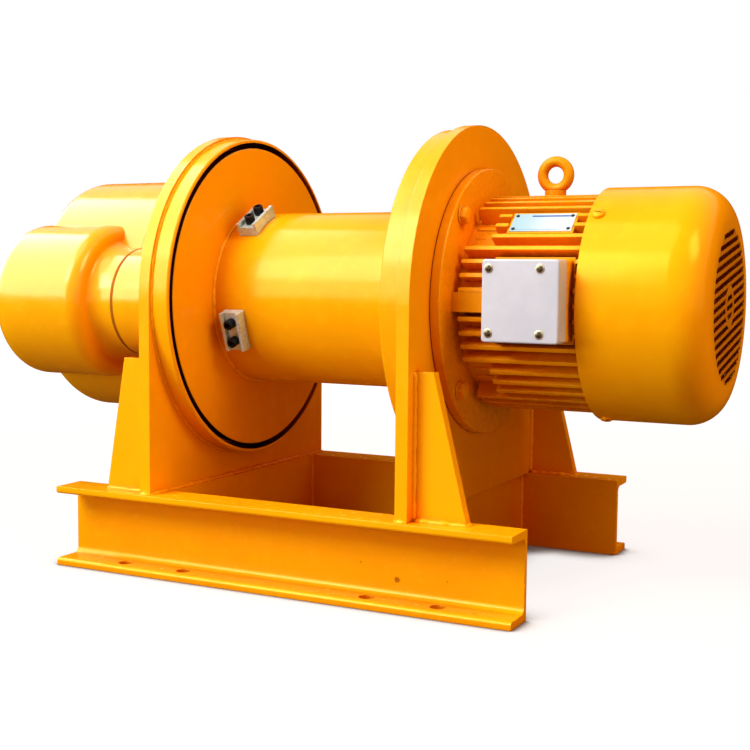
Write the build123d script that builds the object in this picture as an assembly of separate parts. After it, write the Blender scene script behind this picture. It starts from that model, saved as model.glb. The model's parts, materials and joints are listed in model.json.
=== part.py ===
from build123d import *
import os
from math import acos, atan2, cos, degrees, pi, radians, sin, sqrt, tan

# Electric winch: a rope drum between two support plates on a channel base, with a flange motor
# at the +X end and a lobed gear case at the -X end. Millimetres, +Z up, the front towards -Y.
# The origin is the centre of the base bolt pattern, on the surface that the rails stand on.

# Fits and clearances
seat_gap = 0.05
running_gap = 0.08
open_gap = 0.3
edge_break = 1.0
pick = 0.01
corner_angles = (45.0, 135.0, 225.0, 315.0)

# Base rails
rail_length = 488.0
rail_height = 80.0
rail_width = 37.0
rail_web = 5.0
rail_flange = 7.0
rail_root_radius = 6.0
rail_toe_radius = 3.0
rail_overlap = 31.0
base_hole_radius = 7.0
outer_hole_pitch = 340.0
inner_hole_pitch = 200.0
hole_gauge = 21.0
tie_thickness = 10.0
tie_ground_gap = 8.0

# Support plates, shroud rings and gussets
axis_height = 270.0
plate_gap = 264.0
plate_thickness = 12.0
plate_lip = 3.5
shroud_wall = 3.5
shroud_gap = 5.5
shroud_depth = 19.0
gusset_thickness = 10.0
gusset_inset = 13.0
gusset_height = 132.0
left_gusset_top = 28.0
left_gusset_foot = 50.0
right_gusset_top = 18.0
right_gusset_foot = 51.0

# Drum
drum_flange_radius = 157.5
drum_flange_thickness = 12.0
housing_gap = 7.0
barrel_radius = 88.5
barrel_wall = 6.0
hub_thickness = 14.0
hub_setback = 21.0
stub_wall = 9.0
stub_shoulder = 3.0
input_shaft_gap = 9.5
coupling_gap = 6.0
right_stub_overhang = 2.0

# Rope clamps on the barrel
clamp_width = 22.0
clamp_length = 40.0
clamp_height = 7.0
clamp_lip_width = 3.5
clamp_lip_height = 4.0
clamp_flange_gap = 14.0
clamp_angles = (59.0, -20.0)
clamp_screw_spacing = 19.0
clamp_screw_radius = 3.0
clamp_head_radius = 5.0
clamp_head_height = 9.0
clamp_socket_size = 5.0

# Drum bearings
drum_bearing_width = 20.0
drum_bearing_section = 20.0
drum_ball_radius = 6.2
drum_ball_count = 12
race_gap = 6.0
housing_wall = 14.0
housing_lip = 6.0
housing_lip_depth = 7.0
seal_section = 10.0
seal_width = 10.0
seal_lip = 3.0

# Shaft bearings, all of one size
shaft_radius = 12.5
shaft_bearing_section = 13.5
shaft_bearing_width = 15.0
bearing_wall = 8.0
shield_recess = 1.2
shield_edge = 3.5
bearing_shoulder = 1.0

# Gear train
pressure_angle = radians(20.0)
flank_steps = 3
addendum_factor = 0.92
dedendum_factor = 1.25
tooth_thinning = 0.14
first_module = 2.0
input_teeth = 44
layshaft_teeth = 64
pinion_teeth = 16
bull_teeth = 56
planet_module = 2.25
sun_teeth = 18
planet_teeth = 27
ring_teeth = 72
planet_count = 3
layshaft_drop = 4.0
first_width = 21.0
second_width = 25.0
planet_width = 28.0
ring_width = 34.0
ring_rim = 10.2
stage_gap = 6.0
planet_end_gap = 4.0
sun_end_gap = 2.0
bull_setback = 20.0
bull_hub_shoulder = 1.68
bull_web = 10.0
bull_rim = 12.0
bull_hole_radius = 11.0
bull_hole_count = 5
gear_seat_step = 2.5
gear_seat_overhang = 3.0
carrier_thickness = 12.0
carrier_rim = 17.375
carrier_shoulder = 5.0
planet_pin_radius = 8.0
planet_pin_lip = 3.0
planet_pin_head_height = 3.0

# Gear case
case_radius = 124.5
case_wall = 8.0
case_round = 18.0
lobe_gear_gap = 5.16
lobe_wall = 7.0
lobe_neck_round = 15.0
lobe_length = 112.0
lobe_end_wall = 6.0
boss_radius = 54.0
boss_wall = 9.0
neck_flare_length = 23.0
base_depth = 40.0
base_wall = 10.0
ring_seat_wall = 12.0
carrier_setback = 34.0
case_end_wall = 9.0
input_bearing_gap = 9.0
input_end_gap = 2.0
lay_bearing_gap = 4.0
case_bolt_inset = 16.5
case_bolt_radius = 4.0
case_bolt_angles = (-115.0, -60.0, 0.0, 60.0, 115.0)
case_bolt_column = 9.0
case_bolt_grip = 10.0
case_bolt_sink = 11.0
case_bolt_flats = 13.0
case_bolt_head = 5.5
cover_rim = 18.0
cover_thickness = 7.0
cover_round = 2.5
cover_bolt_inset = 8.0
cover_bolt_count = 4
cover_bolt_radius = 3.0
cover_bolt_length = 14.0
cover_bolt_flats = 10.0
cover_bolt_head = 4.0
oil_plug_circle = 76.0
oil_plug_angles = (78.0, -78.0)
oil_plug_radius = 8.0
oil_plug_flats = 17.0
oil_plug_head = 8.0

# Motor
motor_flange_radius = 128.5
motor_flange_thickness = 10.0
motor_bolt_inset = 14.5
motor_bolt_radius = 6.0
motor_bolt_flats = 18.0
motor_bolt_head = 7.5
spigot_radius = 90.0
spigot_depth = 4.0
shaft_hole_gap = 10.0
shaft_reach = 60.0
motor_frame_length = 117.0
motor_body_radius = 86.0
motor_wall = 6.0
fin_height = 16.0
fin_thickness = 4.0
fin_count = 48
pad_headroom = 10.0
fin_setback = 6.0
bolt_access_length = 30.0
bolt_access_width = 40.0
register_depth = 6.0
stator_length = 60.0
stator_bore_radius = 50.0
winding_overhang = 15.0
winding_setback = 4.0
winding_clearance = 5.0
rotor_gap = 0.6
rotor_seat_step = 4.5
rotor_ring_length = 6.0
shaft_clearance = 1.5
rear_bracket_thickness = 10.0
rear_bracket_lip = 8.0
rear_bearing_cap = 4.0
ear_width = 16.0
ear_length = 26.0
coupling_wall = 7.5
coupling_length = 44.0
set_screw_radius = 3.0
shaft_joint_gap = 0.5

# Brake behind the motor
brake_disc_radius = 56.0
brake_disc_thickness = 7.0
magnet_gap = 7.5
armature_thickness = 8.0
armature_gap = 11.5
brake_travel = 0.5
magnet_rim = 6.0
magnet_length = 20.0
brake_post_count = 3
brake_post_reach = 7.5
brake_post_radius = 4.0
armature_ear_radius = 9.0

# Fan and cowl
fan_setback = 12.0
fan_hub_wall = 7.5
fan_hub_length = 22.0
fan_blade_reach = 30.0
fan_disc_thickness = 3.0
fan_tip_gap = 14.0
fan_blade_thickness = 3.0
fan_blade_count = 7
cowl_gap = 4.0
cowl_wall = 2.0
cowl_length = 110.0
cowl_round = 32.0
grille_margin = 6.5
grille_slot_count = 17
grille_slot_width = 4.6
grille_tilt = 9.5
grille_ring_outer = 19.0
grille_ring_inner = 13.0
cowl_screw_angles = (48.0, 168.0, 288.0)
cowl_screw_setback = 9.0
cowl_screw_radius = 3.0
cowl_screw_head_radius = 5.5
cowl_screw_head_height = 3.5
cowl_screw_depth = 12.0

# Terminal box, nameplate and eye bolt
terminal_offset = 86.0
terminal_rise = 4.5
terminal_width = 70.0
terminal_height = 72.0
terminal_pad_height = 8.0
terminal_pad_margin = 2.0
terminal_box_depth = 18.0
terminal_box_wall = 4.0
terminal_cover_depth = 20.0
terminal_cover_wall = 3.0
terminal_corner_round = 3.0
terminal_face_round = 1.5
terminal_post_radius = 6.0
terminal_screw_pitch_x = 46.5
terminal_screw_pitch_z = 56.0
terminal_screw_shift = -5.25
terminal_screw_radius = 2.5
terminal_screw_head_radius = 4.0
terminal_screw_head_height = 2.6
terminal_screw_slot = 1.2
terminal_screw_depth = 10.0
terminal_wire_radius = 12.0
lead_hole_radius = 4.0
cable_entry_radius = 6.2
lead_rib_height = 18.0
lead_rib_drop = 2.5
block_width = 36.0
block_height = 22.0
block_depth = 7.0
stud_radius = 2.5
stud_height = 6.0
stud_pitch = 12.0
nameplate_length = 58.0
nameplate_width = 24.0
nameplate_thickness = 0.8
nameplate_offset = 83.0
nameplate_angle = 48.0
nameplate_pad_height = 13.0
nameplate_margin = 2.0
eye_offset = 72.0
eye_ring_radius = 12.8
eye_rod_radius = 5.0
eye_ring_gap = 1.7
eye_collar_radius = 10.0
eye_collar_height = 5.0
eye_shank_radius = 5.0
eye_shank_length = 14.0
eye_boss_rim = 3.0
eye_boss_height = 15.5

# Radii that follow from the shafts outwards and from the drum flange outwards
shaft_bearing_radius = shaft_radius + shaft_bearing_section
gear_seat_radius = shaft_radius + gear_seat_step
rotor_seat_radius = shaft_radius + rotor_seat_step
coupling_radius = shaft_radius + coupling_wall
left_stub_bore = shaft_radius + input_shaft_gap
right_stub_bore = coupling_radius + coupling_gap
shaft_hole_radius = coupling_radius + shaft_hole_gap
stub_radius = right_stub_bore + stub_wall
carrier_seat_radius = stub_radius - carrier_shoulder
ball_circle = stub_radius + drum_bearing_section / 2
housing_bore = stub_radius + drum_bearing_section
drum_flange_bore = housing_bore + housing_wall + housing_gap
shroud_radius = drum_flange_radius + shroud_gap + shroud_wall
plate_radius = shroud_radius + plate_lip
rail_spacing = 2 * (plate_radius - rail_overlap)
hole_row_spacing = rail_spacing + 2 * hole_gauge

# Stations along the drum axis, as distances from the middle of the winch
plate_inside = plate_gap / 2
plate_outside = plate_inside + plate_thickness
drum_face = plate_inside - shroud_depth
drum_back = drum_face + drum_flange_thickness
hub_face = drum_face - hub_setback
bearing_far = plate_inside - housing_lip
bearing_near = bearing_far - drum_bearing_width
plate_rise = axis_height - rail_height

# Gear case stations, as distances to the left of the left plate's outer face
lay_bearing_right = base_wall
carrier_start = carrier_setback
ring_start = carrier_start + carrier_thickness
ring_end = ring_start + ring_width
bull_start = ring_end + bull_setback
bull_end = bull_start + second_width
first_start = bull_end + stage_gap
first_end = first_start + first_width
lay_bearing_left = first_end + lay_bearing_gap
lobe_end = lay_bearing_left + shaft_bearing_width + lobe_end_wall
lobe_start = lobe_end - lobe_length
input_bearing = first_end + input_bearing_gap
case_end = input_bearing + shaft_bearing_width + input_end_gap

# Gear sizes
centre_distance = first_module * (input_teeth + layshaft_teeth) / 2
second_module = 2 * centre_distance / (pinion_teeth + bull_teeth)
layshaft_y = -sqrt(centre_distance**2 - layshaft_drop**2)
layshaft_z = axis_height - layshaft_drop
mesh_angle = degrees(atan2(-layshaft_drop, layshaft_y))
planet_orbit = planet_module * (sun_teeth + planet_teeth) / 2
planet_angles = [90 + 360 * index / planet_count for index in range(planet_count)]
ring_outer_radius = planet_module * (ring_teeth / 2 + dedendum_factor) + ring_rim
bull_hub_radius = planet_module * (sun_teeth / 2 + addendum_factor) + bull_hub_shoulder
planet_pin_head = planet_pin_radius + planet_pin_lip
carrier_radius = planet_orbit + planet_pin_radius + carrier_rim

# Gear case sizes
layshaft_gear_radius = first_module * (layshaft_teeth / 2 + addendum_factor)
lobe_radius = layshaft_gear_radius + lobe_gear_gap + lobe_wall
case_bolt_circle = case_radius - case_bolt_inset
cover_radius = shaft_bearing_radius + cover_rim
cover_bolt_circle = cover_radius - cover_bolt_inset

# Motor sizes, from the bore outwards
motor_bore_radius = motor_body_radius - motor_wall
fin_radius = motor_body_radius + fin_height
motor_bolt_circle = motor_flange_radius - motor_bolt_inset
winding_inner_radius = stator_bore_radius + winding_setback
winding_outer_radius = motor_bore_radius - winding_clearance
rear_bracket_radius = motor_bore_radius + rear_bracket_lip
terminal_pad_reach = motor_body_radius + terminal_pad_height
nameplate_reach = motor_body_radius + nameplate_pad_height
eye_boss_radius = eye_collar_radius + eye_boss_rim
eye_boss_reach = motor_body_radius + eye_boss_height
cowl_radius = fin_radius + cowl_gap + cowl_wall
grille_radius = cowl_radius - cowl_round - grille_margin
fan_hub_radius = shaft_radius + fan_hub_wall
fan_radius = cowl_radius - cowl_wall - fan_tip_gap
fan_disc_radius = fan_radius - fan_blade_reach
magnet_bore = shaft_radius + magnet_gap
magnet_radius = brake_disc_radius + magnet_rim
brake_post_circle = brake_disc_radius + brake_post_reach
armature_bore = shaft_radius + armature_gap

# Motor stations, as X values
motor_start = plate_outside + motor_flange_thickness
motor_end = motor_start + motor_frame_length
motor_middle = (motor_start + motor_end) / 2
rear_face = motor_end + rear_bracket_thickness
drive_bearing = motor_start + bearing_shoulder
rear_bearing = rear_face - rear_bearing_cap - shaft_bearing_width
brake_disc_start = rear_face + open_gap
armature_start = brake_disc_start + brake_disc_thickness + open_gap
magnet_start = armature_start + armature_thickness + brake_travel + open_gap
magnet_end = magnet_start + magnet_length
fan_start = magnet_end + fan_setback
fan_end = fan_start + fan_hub_length
cowl_end = motor_end + cowl_length
shaft_meeting = plate_outside - shaft_reach
terminal_x = plate_outside + terminal_offset
terminal_z = axis_height + terminal_rise
box_back = -terminal_pad_reach
box_front = box_back - terminal_box_depth
cover_front = box_front - terminal_cover_depth
nameplate_x = plate_outside + nameplate_offset
eye_x = plate_outside + eye_offset
eye_z = axis_height + eye_boss_reach + eye_ring_gap + eye_ring_radius + eye_rod_radius


# Shape helpers
def left(distance):
    """X of a station that lies a distance to the left of the left plate's outer face."""
    return -(plate_outside + distance)


def bar(x0, x1, radius, y=0.0, z=axis_height):
    """Round bar along X."""
    return Pos((x0 + x1) / 2, y, z) * Rot(0, 90, 0) * Cylinder(radius, abs(x1 - x0))


def tube(x0, x1, outer, inner, y=0.0, z=axis_height):
    """Round tube along X."""
    return bar(x0, x1, outer, y, z) - bar(x0, x1, inner, y, z)


def block(x0, x1, y0, y1, z0, z1):
    """Rectangular block between two corners."""
    middle = Pos((x0 + x1) / 2, (y0 + y1) / 2, (z0 + z1) / 2)
    return middle * Box(abs(x1 - x0), abs(y1 - y0), abs(z1 - z0))


def prism(sketch, x0, x1, y=0.0, z=axis_height):
    """A drawing of (Y, Z) about an X axis, given its thickness along X."""
    plane = Plane(origin=(min(x0, x1), y, z), x_dir=(0, 1, 0), z_dir=(1, 0, 0))
    return extrude(plane * sketch, amount=abs(x1 - x0))


def rounded_bar(x0, x1, radius, corner, at_start):
    """Round bar along X on the origin's axis height, with one rounded end."""
    solid = bar(x0, x1, radius)
    rims = solid.edges().filter_by(GeomType.CIRCLE).sort_by(Axis.X)
    return fillet(rims[0] if at_start else rims[-1], corner)


def polar(radius, angle):
    """Offset (Y, Z) at a radius and an angle from +Y towards +Z, in degrees."""
    return radius * cos(radians(angle)), radius * sin(radians(angle))


def mirrored(solid):
    """The same solid on the other side of the winch's middle, along X."""
    return mirror(solid, about=Plane.YZ)


def hex_prism(flats, x0, x1, y, z):
    """Hexagonal head along X."""
    return prism(RegularPolygon(flats / sqrt(3), 6), x0, x1, y, z)


def ray_bar(angle, r0, r1, radius, x):
    """Round bar that points away from the drum axis, at an angle from -Y towards +Z."""
    direction = (0, -cos(radians(angle)), sin(radians(angle)))
    origin = (x, r0 * direction[1], axis_height + r0 * direction[2])
    return extrude(Plane(origin=origin, z_dir=direction) * Circle(radius), amount=r1 - r0)


def ray_block(angle, r0, r1, width, x0, x1):
    """Block that stands on the drum axis's ray at an angle from -Y towards +Z."""
    solid = Pos((x0 + x1) / 2, -(r0 + r1) / 2, 0) * Box(abs(x1 - x0), r1 - r0, width)
    return Pos(0, 0, axis_height) * Rot(-angle, 0, 0) * solid


# Gear teeth
def involute(angle):
    return tan(angle) - angle


def tooth_outline(module, teeth, phase, addendum, dedendum, thinning):
    """Closed gear outline with involute flanks and one tooth centred at the phase angle."""
    pitch = module * teeth / 2
    base = pitch * cos(pressure_angle)
    tip = pitch + addendum
    root = pitch - dedendum
    start = max(base, root)
    radii = [start + (tip - start) * step / flank_steps for step in range(flank_steps + 1)]
    halves = []
    for radius in radii:
        spread = involute(pressure_angle) - involute(acos(base / radius))
        halves.append(pi / (2 * teeth) + spread - thinning / pitch)
    if root < start:
        radii.insert(0, root)
        halves.insert(0, halves[0])
    flank = list(zip(radii, halves))
    points = []
    for tooth in range(teeth):
        middle = radians(phase) + 2 * pi * tooth / teeth
        points += [(r * cos(middle - half), r * sin(middle - half)) for r, half in flank]
        points += [(r * cos(middle + half), r * sin(middle + half)) for r, half in reversed(flank)]
    return points


def gear_face(module, teeth, phase):
    """Drawing of an external gear."""
    points = tooth_outline(module, teeth, phase, addendum_factor * module,
                           dedendum_factor * module, tooth_thinning)
    return make_face(Polyline(*points, close=True))


def half_pitch(teeth):
    return 180 / teeth


# Base frame
def rail():
    """Front channel: web to the inside, flanges to the outside, four bolt holes in its foot."""
    back = -rail_spacing / 2
    tip = back - rail_width
    face = back - rail_web
    top = rail_height
    outline = Polyline((back, 0), (back, top), (tip, top), (tip, top - rail_flange),
                       (face, top - rail_flange), (face, rail_flange), (tip, rail_flange),
                       (tip, 0), close=True)
    section = make_face(outline)
    roots = section.vertices().filter_by_position(Axis.X, face - pick, face + pick)
    section = fillet(roots, rail_root_radius)
    toes = section.vertices().filter_by_position(Axis.X, tip - pick, tip + pick)
    toes = toes.filter_by_position(Axis.Y, rail_flange - pick, top - rail_flange + pick)
    section = fillet(toes, rail_toe_radius)
    solid = prism(section, -rail_length / 2, rail_length / 2, 0, 0)
    for x in (-outer_hole_pitch, -inner_hole_pitch, inner_hole_pitch, outer_hole_pitch):
        hole = Pos(x / 2, -hole_row_spacing / 2, rail_flange / 2)
        solid -= hole * Cylinder(base_hole_radius, 2 * rail_flange)
    return solid


def cross_ties():
    """Flat ties between the webs, under both support plates."""
    half = rail_spacing / 2
    tie = block(plate_inside - tie_thickness / 2, plate_inside + tie_thickness / 2,
                -half, half, tie_ground_gap, rail_height)
    return [tie, mirrored(tie)]


def plate_sketch():
    foot = Pos(0, -plate_rise / 2) * Rectangle(2 * plate_radius, plate_rise)
    return Circle(plate_radius) + foot


def left_support_plate():
    solid = prism(plate_sketch(), -plate_outside, -plate_inside)
    solid -= bar(-plate_outside, -plate_inside, stub_radius + seal_section)
    for angle in case_bolt_angles:
        y, z = polar(case_bolt_circle, angle)
        solid -= bar(-plate_outside, -plate_outside + case_bolt_grip, case_bolt_radius + seat_gap,
                     y, axis_height + z)
    return solid


def right_support_plate():
    solid = prism(plate_sketch(), plate_inside, plate_outside)
    solid -= bar(plate_inside, plate_outside, shaft_hole_radius)
    solid -= bar(plate_outside - spigot_depth, plate_outside, spigot_radius + seat_gap)
    for y, z in motor_bolt_places():
        solid -= bar(plate_inside, plate_outside, motor_bolt_radius + seat_gap, y, z)
    return solid


def shroud_rings():
    """Rings round the drum flanges, with a thin bevelled rim."""
    ring = tube(drum_face, plate_inside, shroud_radius, shroud_radius - shroud_wall)
    rims = ring.edges().filter_by(GeomType.CIRCLE).group_by(Axis.X)[0]
    ring = chamfer(rims.sort_by(SortBy.RADIUS)[-1], shroud_wall / 3)
    return [mirrored(ring), ring]


def gussets(top, foot):
    """Two upright stiffeners outside the right plate, front and rear."""
    height = rail_height + gusset_height
    outline = Polyline((plate_outside, rail_height), (plate_outside + foot, rail_height),
                       (plate_outside + top, height), (plate_outside, height), close=True)
    y = gusset_inset - plate_radius
    front = extrude(Plane.XZ.offset(-y) * make_face(outline), amount=-gusset_thickness)
    return [front, mirror(front, about=Plane.XZ)]


# Drum
def drum_barrel():
    solid = tube(-drum_face, drum_face, barrel_radius, barrel_radius - barrel_wall)
    for x, angle in clamp_screw_places():
        solid -= clamp_bar(x, angle, barrel_radius - 2 * barrel_wall, barrel_radius + barrel_wall,
                           clamp_screw_radius + seat_gap)
    return solid


def drum_flange():
    """Right drum flange."""
    disc = tube(drum_face, drum_back, drum_flange_radius, drum_flange_bore)
    rims = disc.edges().filter_by(GeomType.CIRCLE).sort_by(SortBy.RADIUS)[-2:]
    return chamfer(rims, edge_break)


def hub_disc():
    """Web of the right hub, with the shoulder that the bearing sits against."""
    web = bar(hub_face - hub_thickness, hub_face, barrel_radius - barrel_wall - seat_gap)
    return web + bar(hub_face, bearing_near, stub_radius + stub_shoulder)


def left_drum_hub():
    """Hollow stub that runs through the left plate and ends in the carrier's seat."""
    solid = mirrored(hub_disc())
    solid += bar(left(carrier_start), -bearing_near, stub_radius)
    solid += bar(left(ring_start), left(carrier_start), carrier_seat_radius)
    return solid - bar(left(ring_start), -hub_face + hub_thickness, left_stub_bore)


def right_drum_hub():
    end = bearing_far + right_stub_overhang
    solid = hub_disc() + bar(bearing_near, end, stub_radius)
    return solid - bar(hub_face - hub_thickness, end, right_stub_bore)


def clamp_x():
    return -drum_face + clamp_flange_gap + clamp_width / 2


def clamp_screw_places():
    """X and angle of each clamp's two screws, which sit along the barrel's round."""
    step = degrees(clamp_screw_spacing / 2 / barrel_radius)
    return [(clamp_x(), angle + side * step) for angle in clamp_angles for side in (-1, 1)]


def clamp_bar(x, angle, r0, r1, radius):
    """Bar square to a clamp's flat top, at the place of one of its screws."""
    clamp_angle = min(clamp_angles, key=lambda middle: abs(middle - angle))
    offset = clamp_screw_spacing / 2 * (1 if angle > clamp_angle else -1)
    turn = Pos(0, 0, axis_height) * Rot(-clamp_angle, 0, 0)
    return turn * Pos(x, -(r0 + r1) / 2, offset) * Rot(90, 0, 0) * Cylinder(radius, r1 - r0)


def rope_clamps():
    """Clamp plates with raised lips along their sides, hollowed to lie on the barrel."""
    x0 = clamp_x() - clamp_width / 2
    x1 = clamp_x() + clamp_width / 2
    low = sqrt(barrel_radius**2 - (clamp_length / 2) ** 2)
    top = barrel_radius + clamp_height
    plates = []
    for angle in clamp_angles:
        plate = ray_block(angle, low, top, clamp_length, x0, x1)
        for lip in (x0, x1 - clamp_lip_width):
            plate += ray_block(angle, top, top + clamp_lip_height, clamp_length,
                               lip, lip + clamp_lip_width)
        plates.append(plate - bar(x0, x1, barrel_radius + seat_gap))
    for index, (x, angle) in enumerate(clamp_screw_places()):
        plates[index // 2] -= clamp_bar(x, angle, low, top, clamp_screw_radius + seat_gap)
    return plates


def rope_clamp_screws():
    """Socket-head screws through the clamps into the barrel."""
    top = barrel_radius + clamp_height
    screws = []
    for x, angle in clamp_screw_places():
        screw = clamp_bar(x, angle, barrel_radius - barrel_wall, top, clamp_screw_radius)
        screw += clamp_bar(x, angle, top, top + clamp_head_height, clamp_head_radius)
        screw -= clamp_bar(x, angle, top + clamp_head_height / 2, top + clamp_head_height,
                           clamp_socket_size / 2)
        screws.append(screw)
    return screws


# Drum bearings
def ball_groove():
    x = (bearing_near + bearing_far) / 2
    return Pos(x, 0, axis_height) * Rot(0, 90, 0) * Torus(ball_circle, drum_ball_radius + open_gap)


def bearing_housings():
    """Rings on the inner faces of the plates that hold the drum bearings."""
    near = bearing_near - housing_lip / 2
    solid = tube(near, plate_inside, housing_bore + housing_wall, housing_bore + seat_gap)
    solid += tube(bearing_far, plate_inside, housing_bore + housing_wall / 2,
                  housing_bore - housing_lip_depth)
    return [mirrored(solid), solid]


def drum_bearing_outer_races():
    race = tube(bearing_near, bearing_far, housing_bore, ball_circle + race_gap / 2)
    race -= ball_groove()
    return [mirrored(race), race]


def drum_bearing_inner_races():
    race = tube(bearing_near, bearing_far, ball_circle - race_gap / 2, stub_radius + seat_gap)
    race -= ball_groove()
    return [mirrored(race), race]


def drum_bearing_balls():
    balls = []
    for x in (-(bearing_near + bearing_far) / 2, (bearing_near + bearing_far) / 2):
        for index in range(drum_ball_count):
            y, z = polar(ball_circle, 360 * index / drum_ball_count)
            balls.append(Pos(x, y, axis_height + z) * Sphere(drum_ball_radius))
    return balls


def drum_oil_seal():
    margin = (plate_thickness - seal_width) / 2
    x0 = -plate_outside + margin
    x1 = -plate_inside - margin
    ring = tube(x0, x1, stub_radius + seal_section - seat_gap, stub_radius + running_gap)
    groove = tube(x0, x0 + seal_width / 2, stub_radius + seal_section - seal_lip,
                  stub_radius + seal_lip)
    return ring - groove


def shaft_bearings():
    """Shielded shaft bearings: two in the motor, one on the input shaft, two on the layshaft."""
    places = [(drive_bearing, 0, axis_height), (rear_bearing, 0, axis_height),
              (left(input_bearing + shaft_bearing_width), 0, axis_height),
              (left(lay_bearing_left + shaft_bearing_width), layshaft_y, layshaft_z),
              (left(lay_bearing_right + shaft_bearing_width), layshaft_y, layshaft_z)]
    units = []
    for x, y, z in places:
        end = x + shaft_bearing_width
        unit = tube(x, end, shaft_bearing_radius, shaft_radius + running_gap, y, z)
        for face in (x, end - shield_recess):
            unit -= tube(face, face + shield_recess, shaft_bearing_radius - shield_edge,
                         shaft_radius + shield_edge, y, z)
        units.append(unit)
    return units


# Gear case
def case_bolt_bars(x0, x1, radius):
    """One bar for each of the gear case's long bolts."""
    bars = []
    for angle in case_bolt_angles:
        y, z = polar(case_bolt_circle, angle)
        bars.append(bar(x0, x1, radius, y, axis_height + z))
    return bars


def lobe_outside():
    """The lobe round the layshaft gear and its flared neck towards the plate."""
    outer = left(lobe_end)
    face = left(lobe_start)
    seam = left(base_depth)
    waist = lobe_radius - lobe_neck_round
    flare_end = face + neck_flare_length
    outer_round = CenterArc((outer + case_round, lobe_radius - case_round), case_round, 90, 90)
    neck_round = CenterArc((face - lobe_neck_round, waist), lobe_neck_round, 0, 90)
    flare = EllipticalCenterArc((flare_end, waist), neck_flare_length, waist - boss_radius,
                                start_angle=180, arc_size=90)
    section = make_face([
        Line((outer, 0), (outer, lobe_radius - case_round)),
        outer_round,
        Line((outer + case_round, lobe_radius), (face - lobe_neck_round, lobe_radius)),
        neck_round,
        flare,
        Polyline((flare_end, boss_radius), (seam, boss_radius), (seam, 0), (outer, 0))])
    return Pos(0, layshaft_y, layshaft_z) * revolve(section, Axis.X)


def gear_case():
    """Left casting: a drum-shaped case with the lobe at its front, open at the seam."""
    seam = left(base_depth)
    solid = rounded_bar(left(case_end), seam, case_radius, case_round, True) + lobe_outside()
    inner_end = left(case_end - case_end_wall)
    room = rounded_bar(inner_end, seam, case_radius - case_wall, case_round - case_end_wall, True)
    lobe_room = bar(left(lobe_end - lobe_wall), left(lobe_start + lobe_wall),
                    lobe_radius - lobe_wall, layshaft_y, layshaft_z)
    rims = lobe_room.edges().filter_by(GeomType.CIRCLE).sort_by(Axis.X)
    room += fillet(rims[0], case_round - lobe_wall)
    room += bar(left(lobe_start + lobe_wall), seam, boss_radius - boss_wall,
                layshaft_y, layshaft_z)
    solid -= room
    solid += bar(left(case_end), left(input_bearing), cover_radius)
    solid += bar(left(lobe_end - lobe_end_wall), left(lay_bearing_left),
                 shaft_bearing_radius + bearing_wall, layshaft_y, layshaft_z)
    columns = case_bolt_bars(inner_end, seam, case_bolt_column)
    for column in columns:
        solid += column
    solid -= bar(left(case_end), left(input_bearing), shaft_bearing_radius + seat_gap)
    solid -= bar(left(lay_bearing_left + shaft_bearing_width), left(lay_bearing_left),
                 shaft_bearing_radius + seat_gap, layshaft_y, layshaft_z)
    sink = left(case_end - case_bolt_sink)
    for hole in case_bolt_bars(left(case_end), seam, case_bolt_radius + open_gap):
        solid -= hole
    for pocket in case_bolt_bars(left(case_end), sink, case_bolt_column + open_gap):
        solid -= pocket
    for y, z in cover_bolt_places():
        solid -= bar(left(case_end), left(case_end - cover_bolt_length),
                     cover_bolt_radius + seat_gap, y, z)
    for y, z in oil_plug_places():
        solid -= bar(left(case_end), inner_end, oil_plug_radius + seat_gap, y, z)
    return solid


def gear_case_base():
    """Right casting, against the left plate: it carries the ring gear and a layshaft bearing."""
    face = left(0)
    wall = left(base_wall)
    seam = left(base_depth)
    solid = bar(seam, face, case_radius) + bar(seam, face, boss_radius, layshaft_y, layshaft_z)
    solid -= bar(seam, wall, case_radius - case_wall)
    bearing_end = left(lay_bearing_right + shaft_bearing_width)
    solid -= bar(seam, bearing_end, boss_radius - boss_wall, layshaft_y, layshaft_z)
    solid += tube(left(ring_start), wall, ring_outer_radius, ring_outer_radius - ring_seat_wall)
    solid += bar(bearing_end, wall, shaft_bearing_radius + bearing_wall, layshaft_y, layshaft_z)
    for column in case_bolt_bars(seam, wall, case_bolt_column):
        solid += column
    solid -= bar(bearing_end, left(lay_bearing_right), shaft_bearing_radius + seat_gap,
                 layshaft_y, layshaft_z)
    solid -= bar(wall, face, stub_radius + seal_section)
    for hole in case_bolt_bars(seam, face, case_bolt_radius + open_gap):
        solid -= hole
    return solid


def gear_case_bolts():
    """Long bolts through both castings into the left plate."""
    seat = left(case_end - case_bolt_sink)
    bolts = []
    for angle in case_bolt_angles:
        y, z = polar(case_bolt_circle, angle)
        shank = bar(seat, -plate_outside + case_bolt_grip, case_bolt_radius, y, axis_height + z)
        bolts.append(shank + hex_prism(case_bolt_flats, seat - case_bolt_head, seat,
                                       y, axis_height + z))
    return bolts


def cover_bolt_places():
    places = [polar(cover_bolt_circle, 45 + 360 * index / cover_bolt_count)
              for index in range(cover_bolt_count)]
    return [(y, axis_height + z) for y, z in places]


def gear_case_cover():
    """Round cover over the input shaft's bearing, on the case's outer end."""
    outer = left(case_end + cover_thickness)
    solid = bar(outer, left(case_end), cover_radius)
    solid = fillet(solid.edges().filter_by(GeomType.CIRCLE).sort_by(Axis.X)[0], cover_round)
    for y, z in cover_bolt_places():
        solid -= bar(outer, left(case_end), cover_bolt_radius + seat_gap, y, z)
    return solid


def gear_case_cover_bolts():
    seat = left(case_end + cover_thickness)
    bolts = []
    for y, z in cover_bolt_places():
        shank = bar(seat, seat + cover_bolt_length, cover_bolt_radius, y, z)
        bolts.append(shank + hex_prism(cover_bolt_flats, seat - cover_bolt_head, seat, y, z))
    return bolts


def oil_plug_places():
    places = [polar(oil_plug_circle, angle) for angle in oil_plug_angles]
    return [(y, axis_height + z) for y, z in places]


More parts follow.
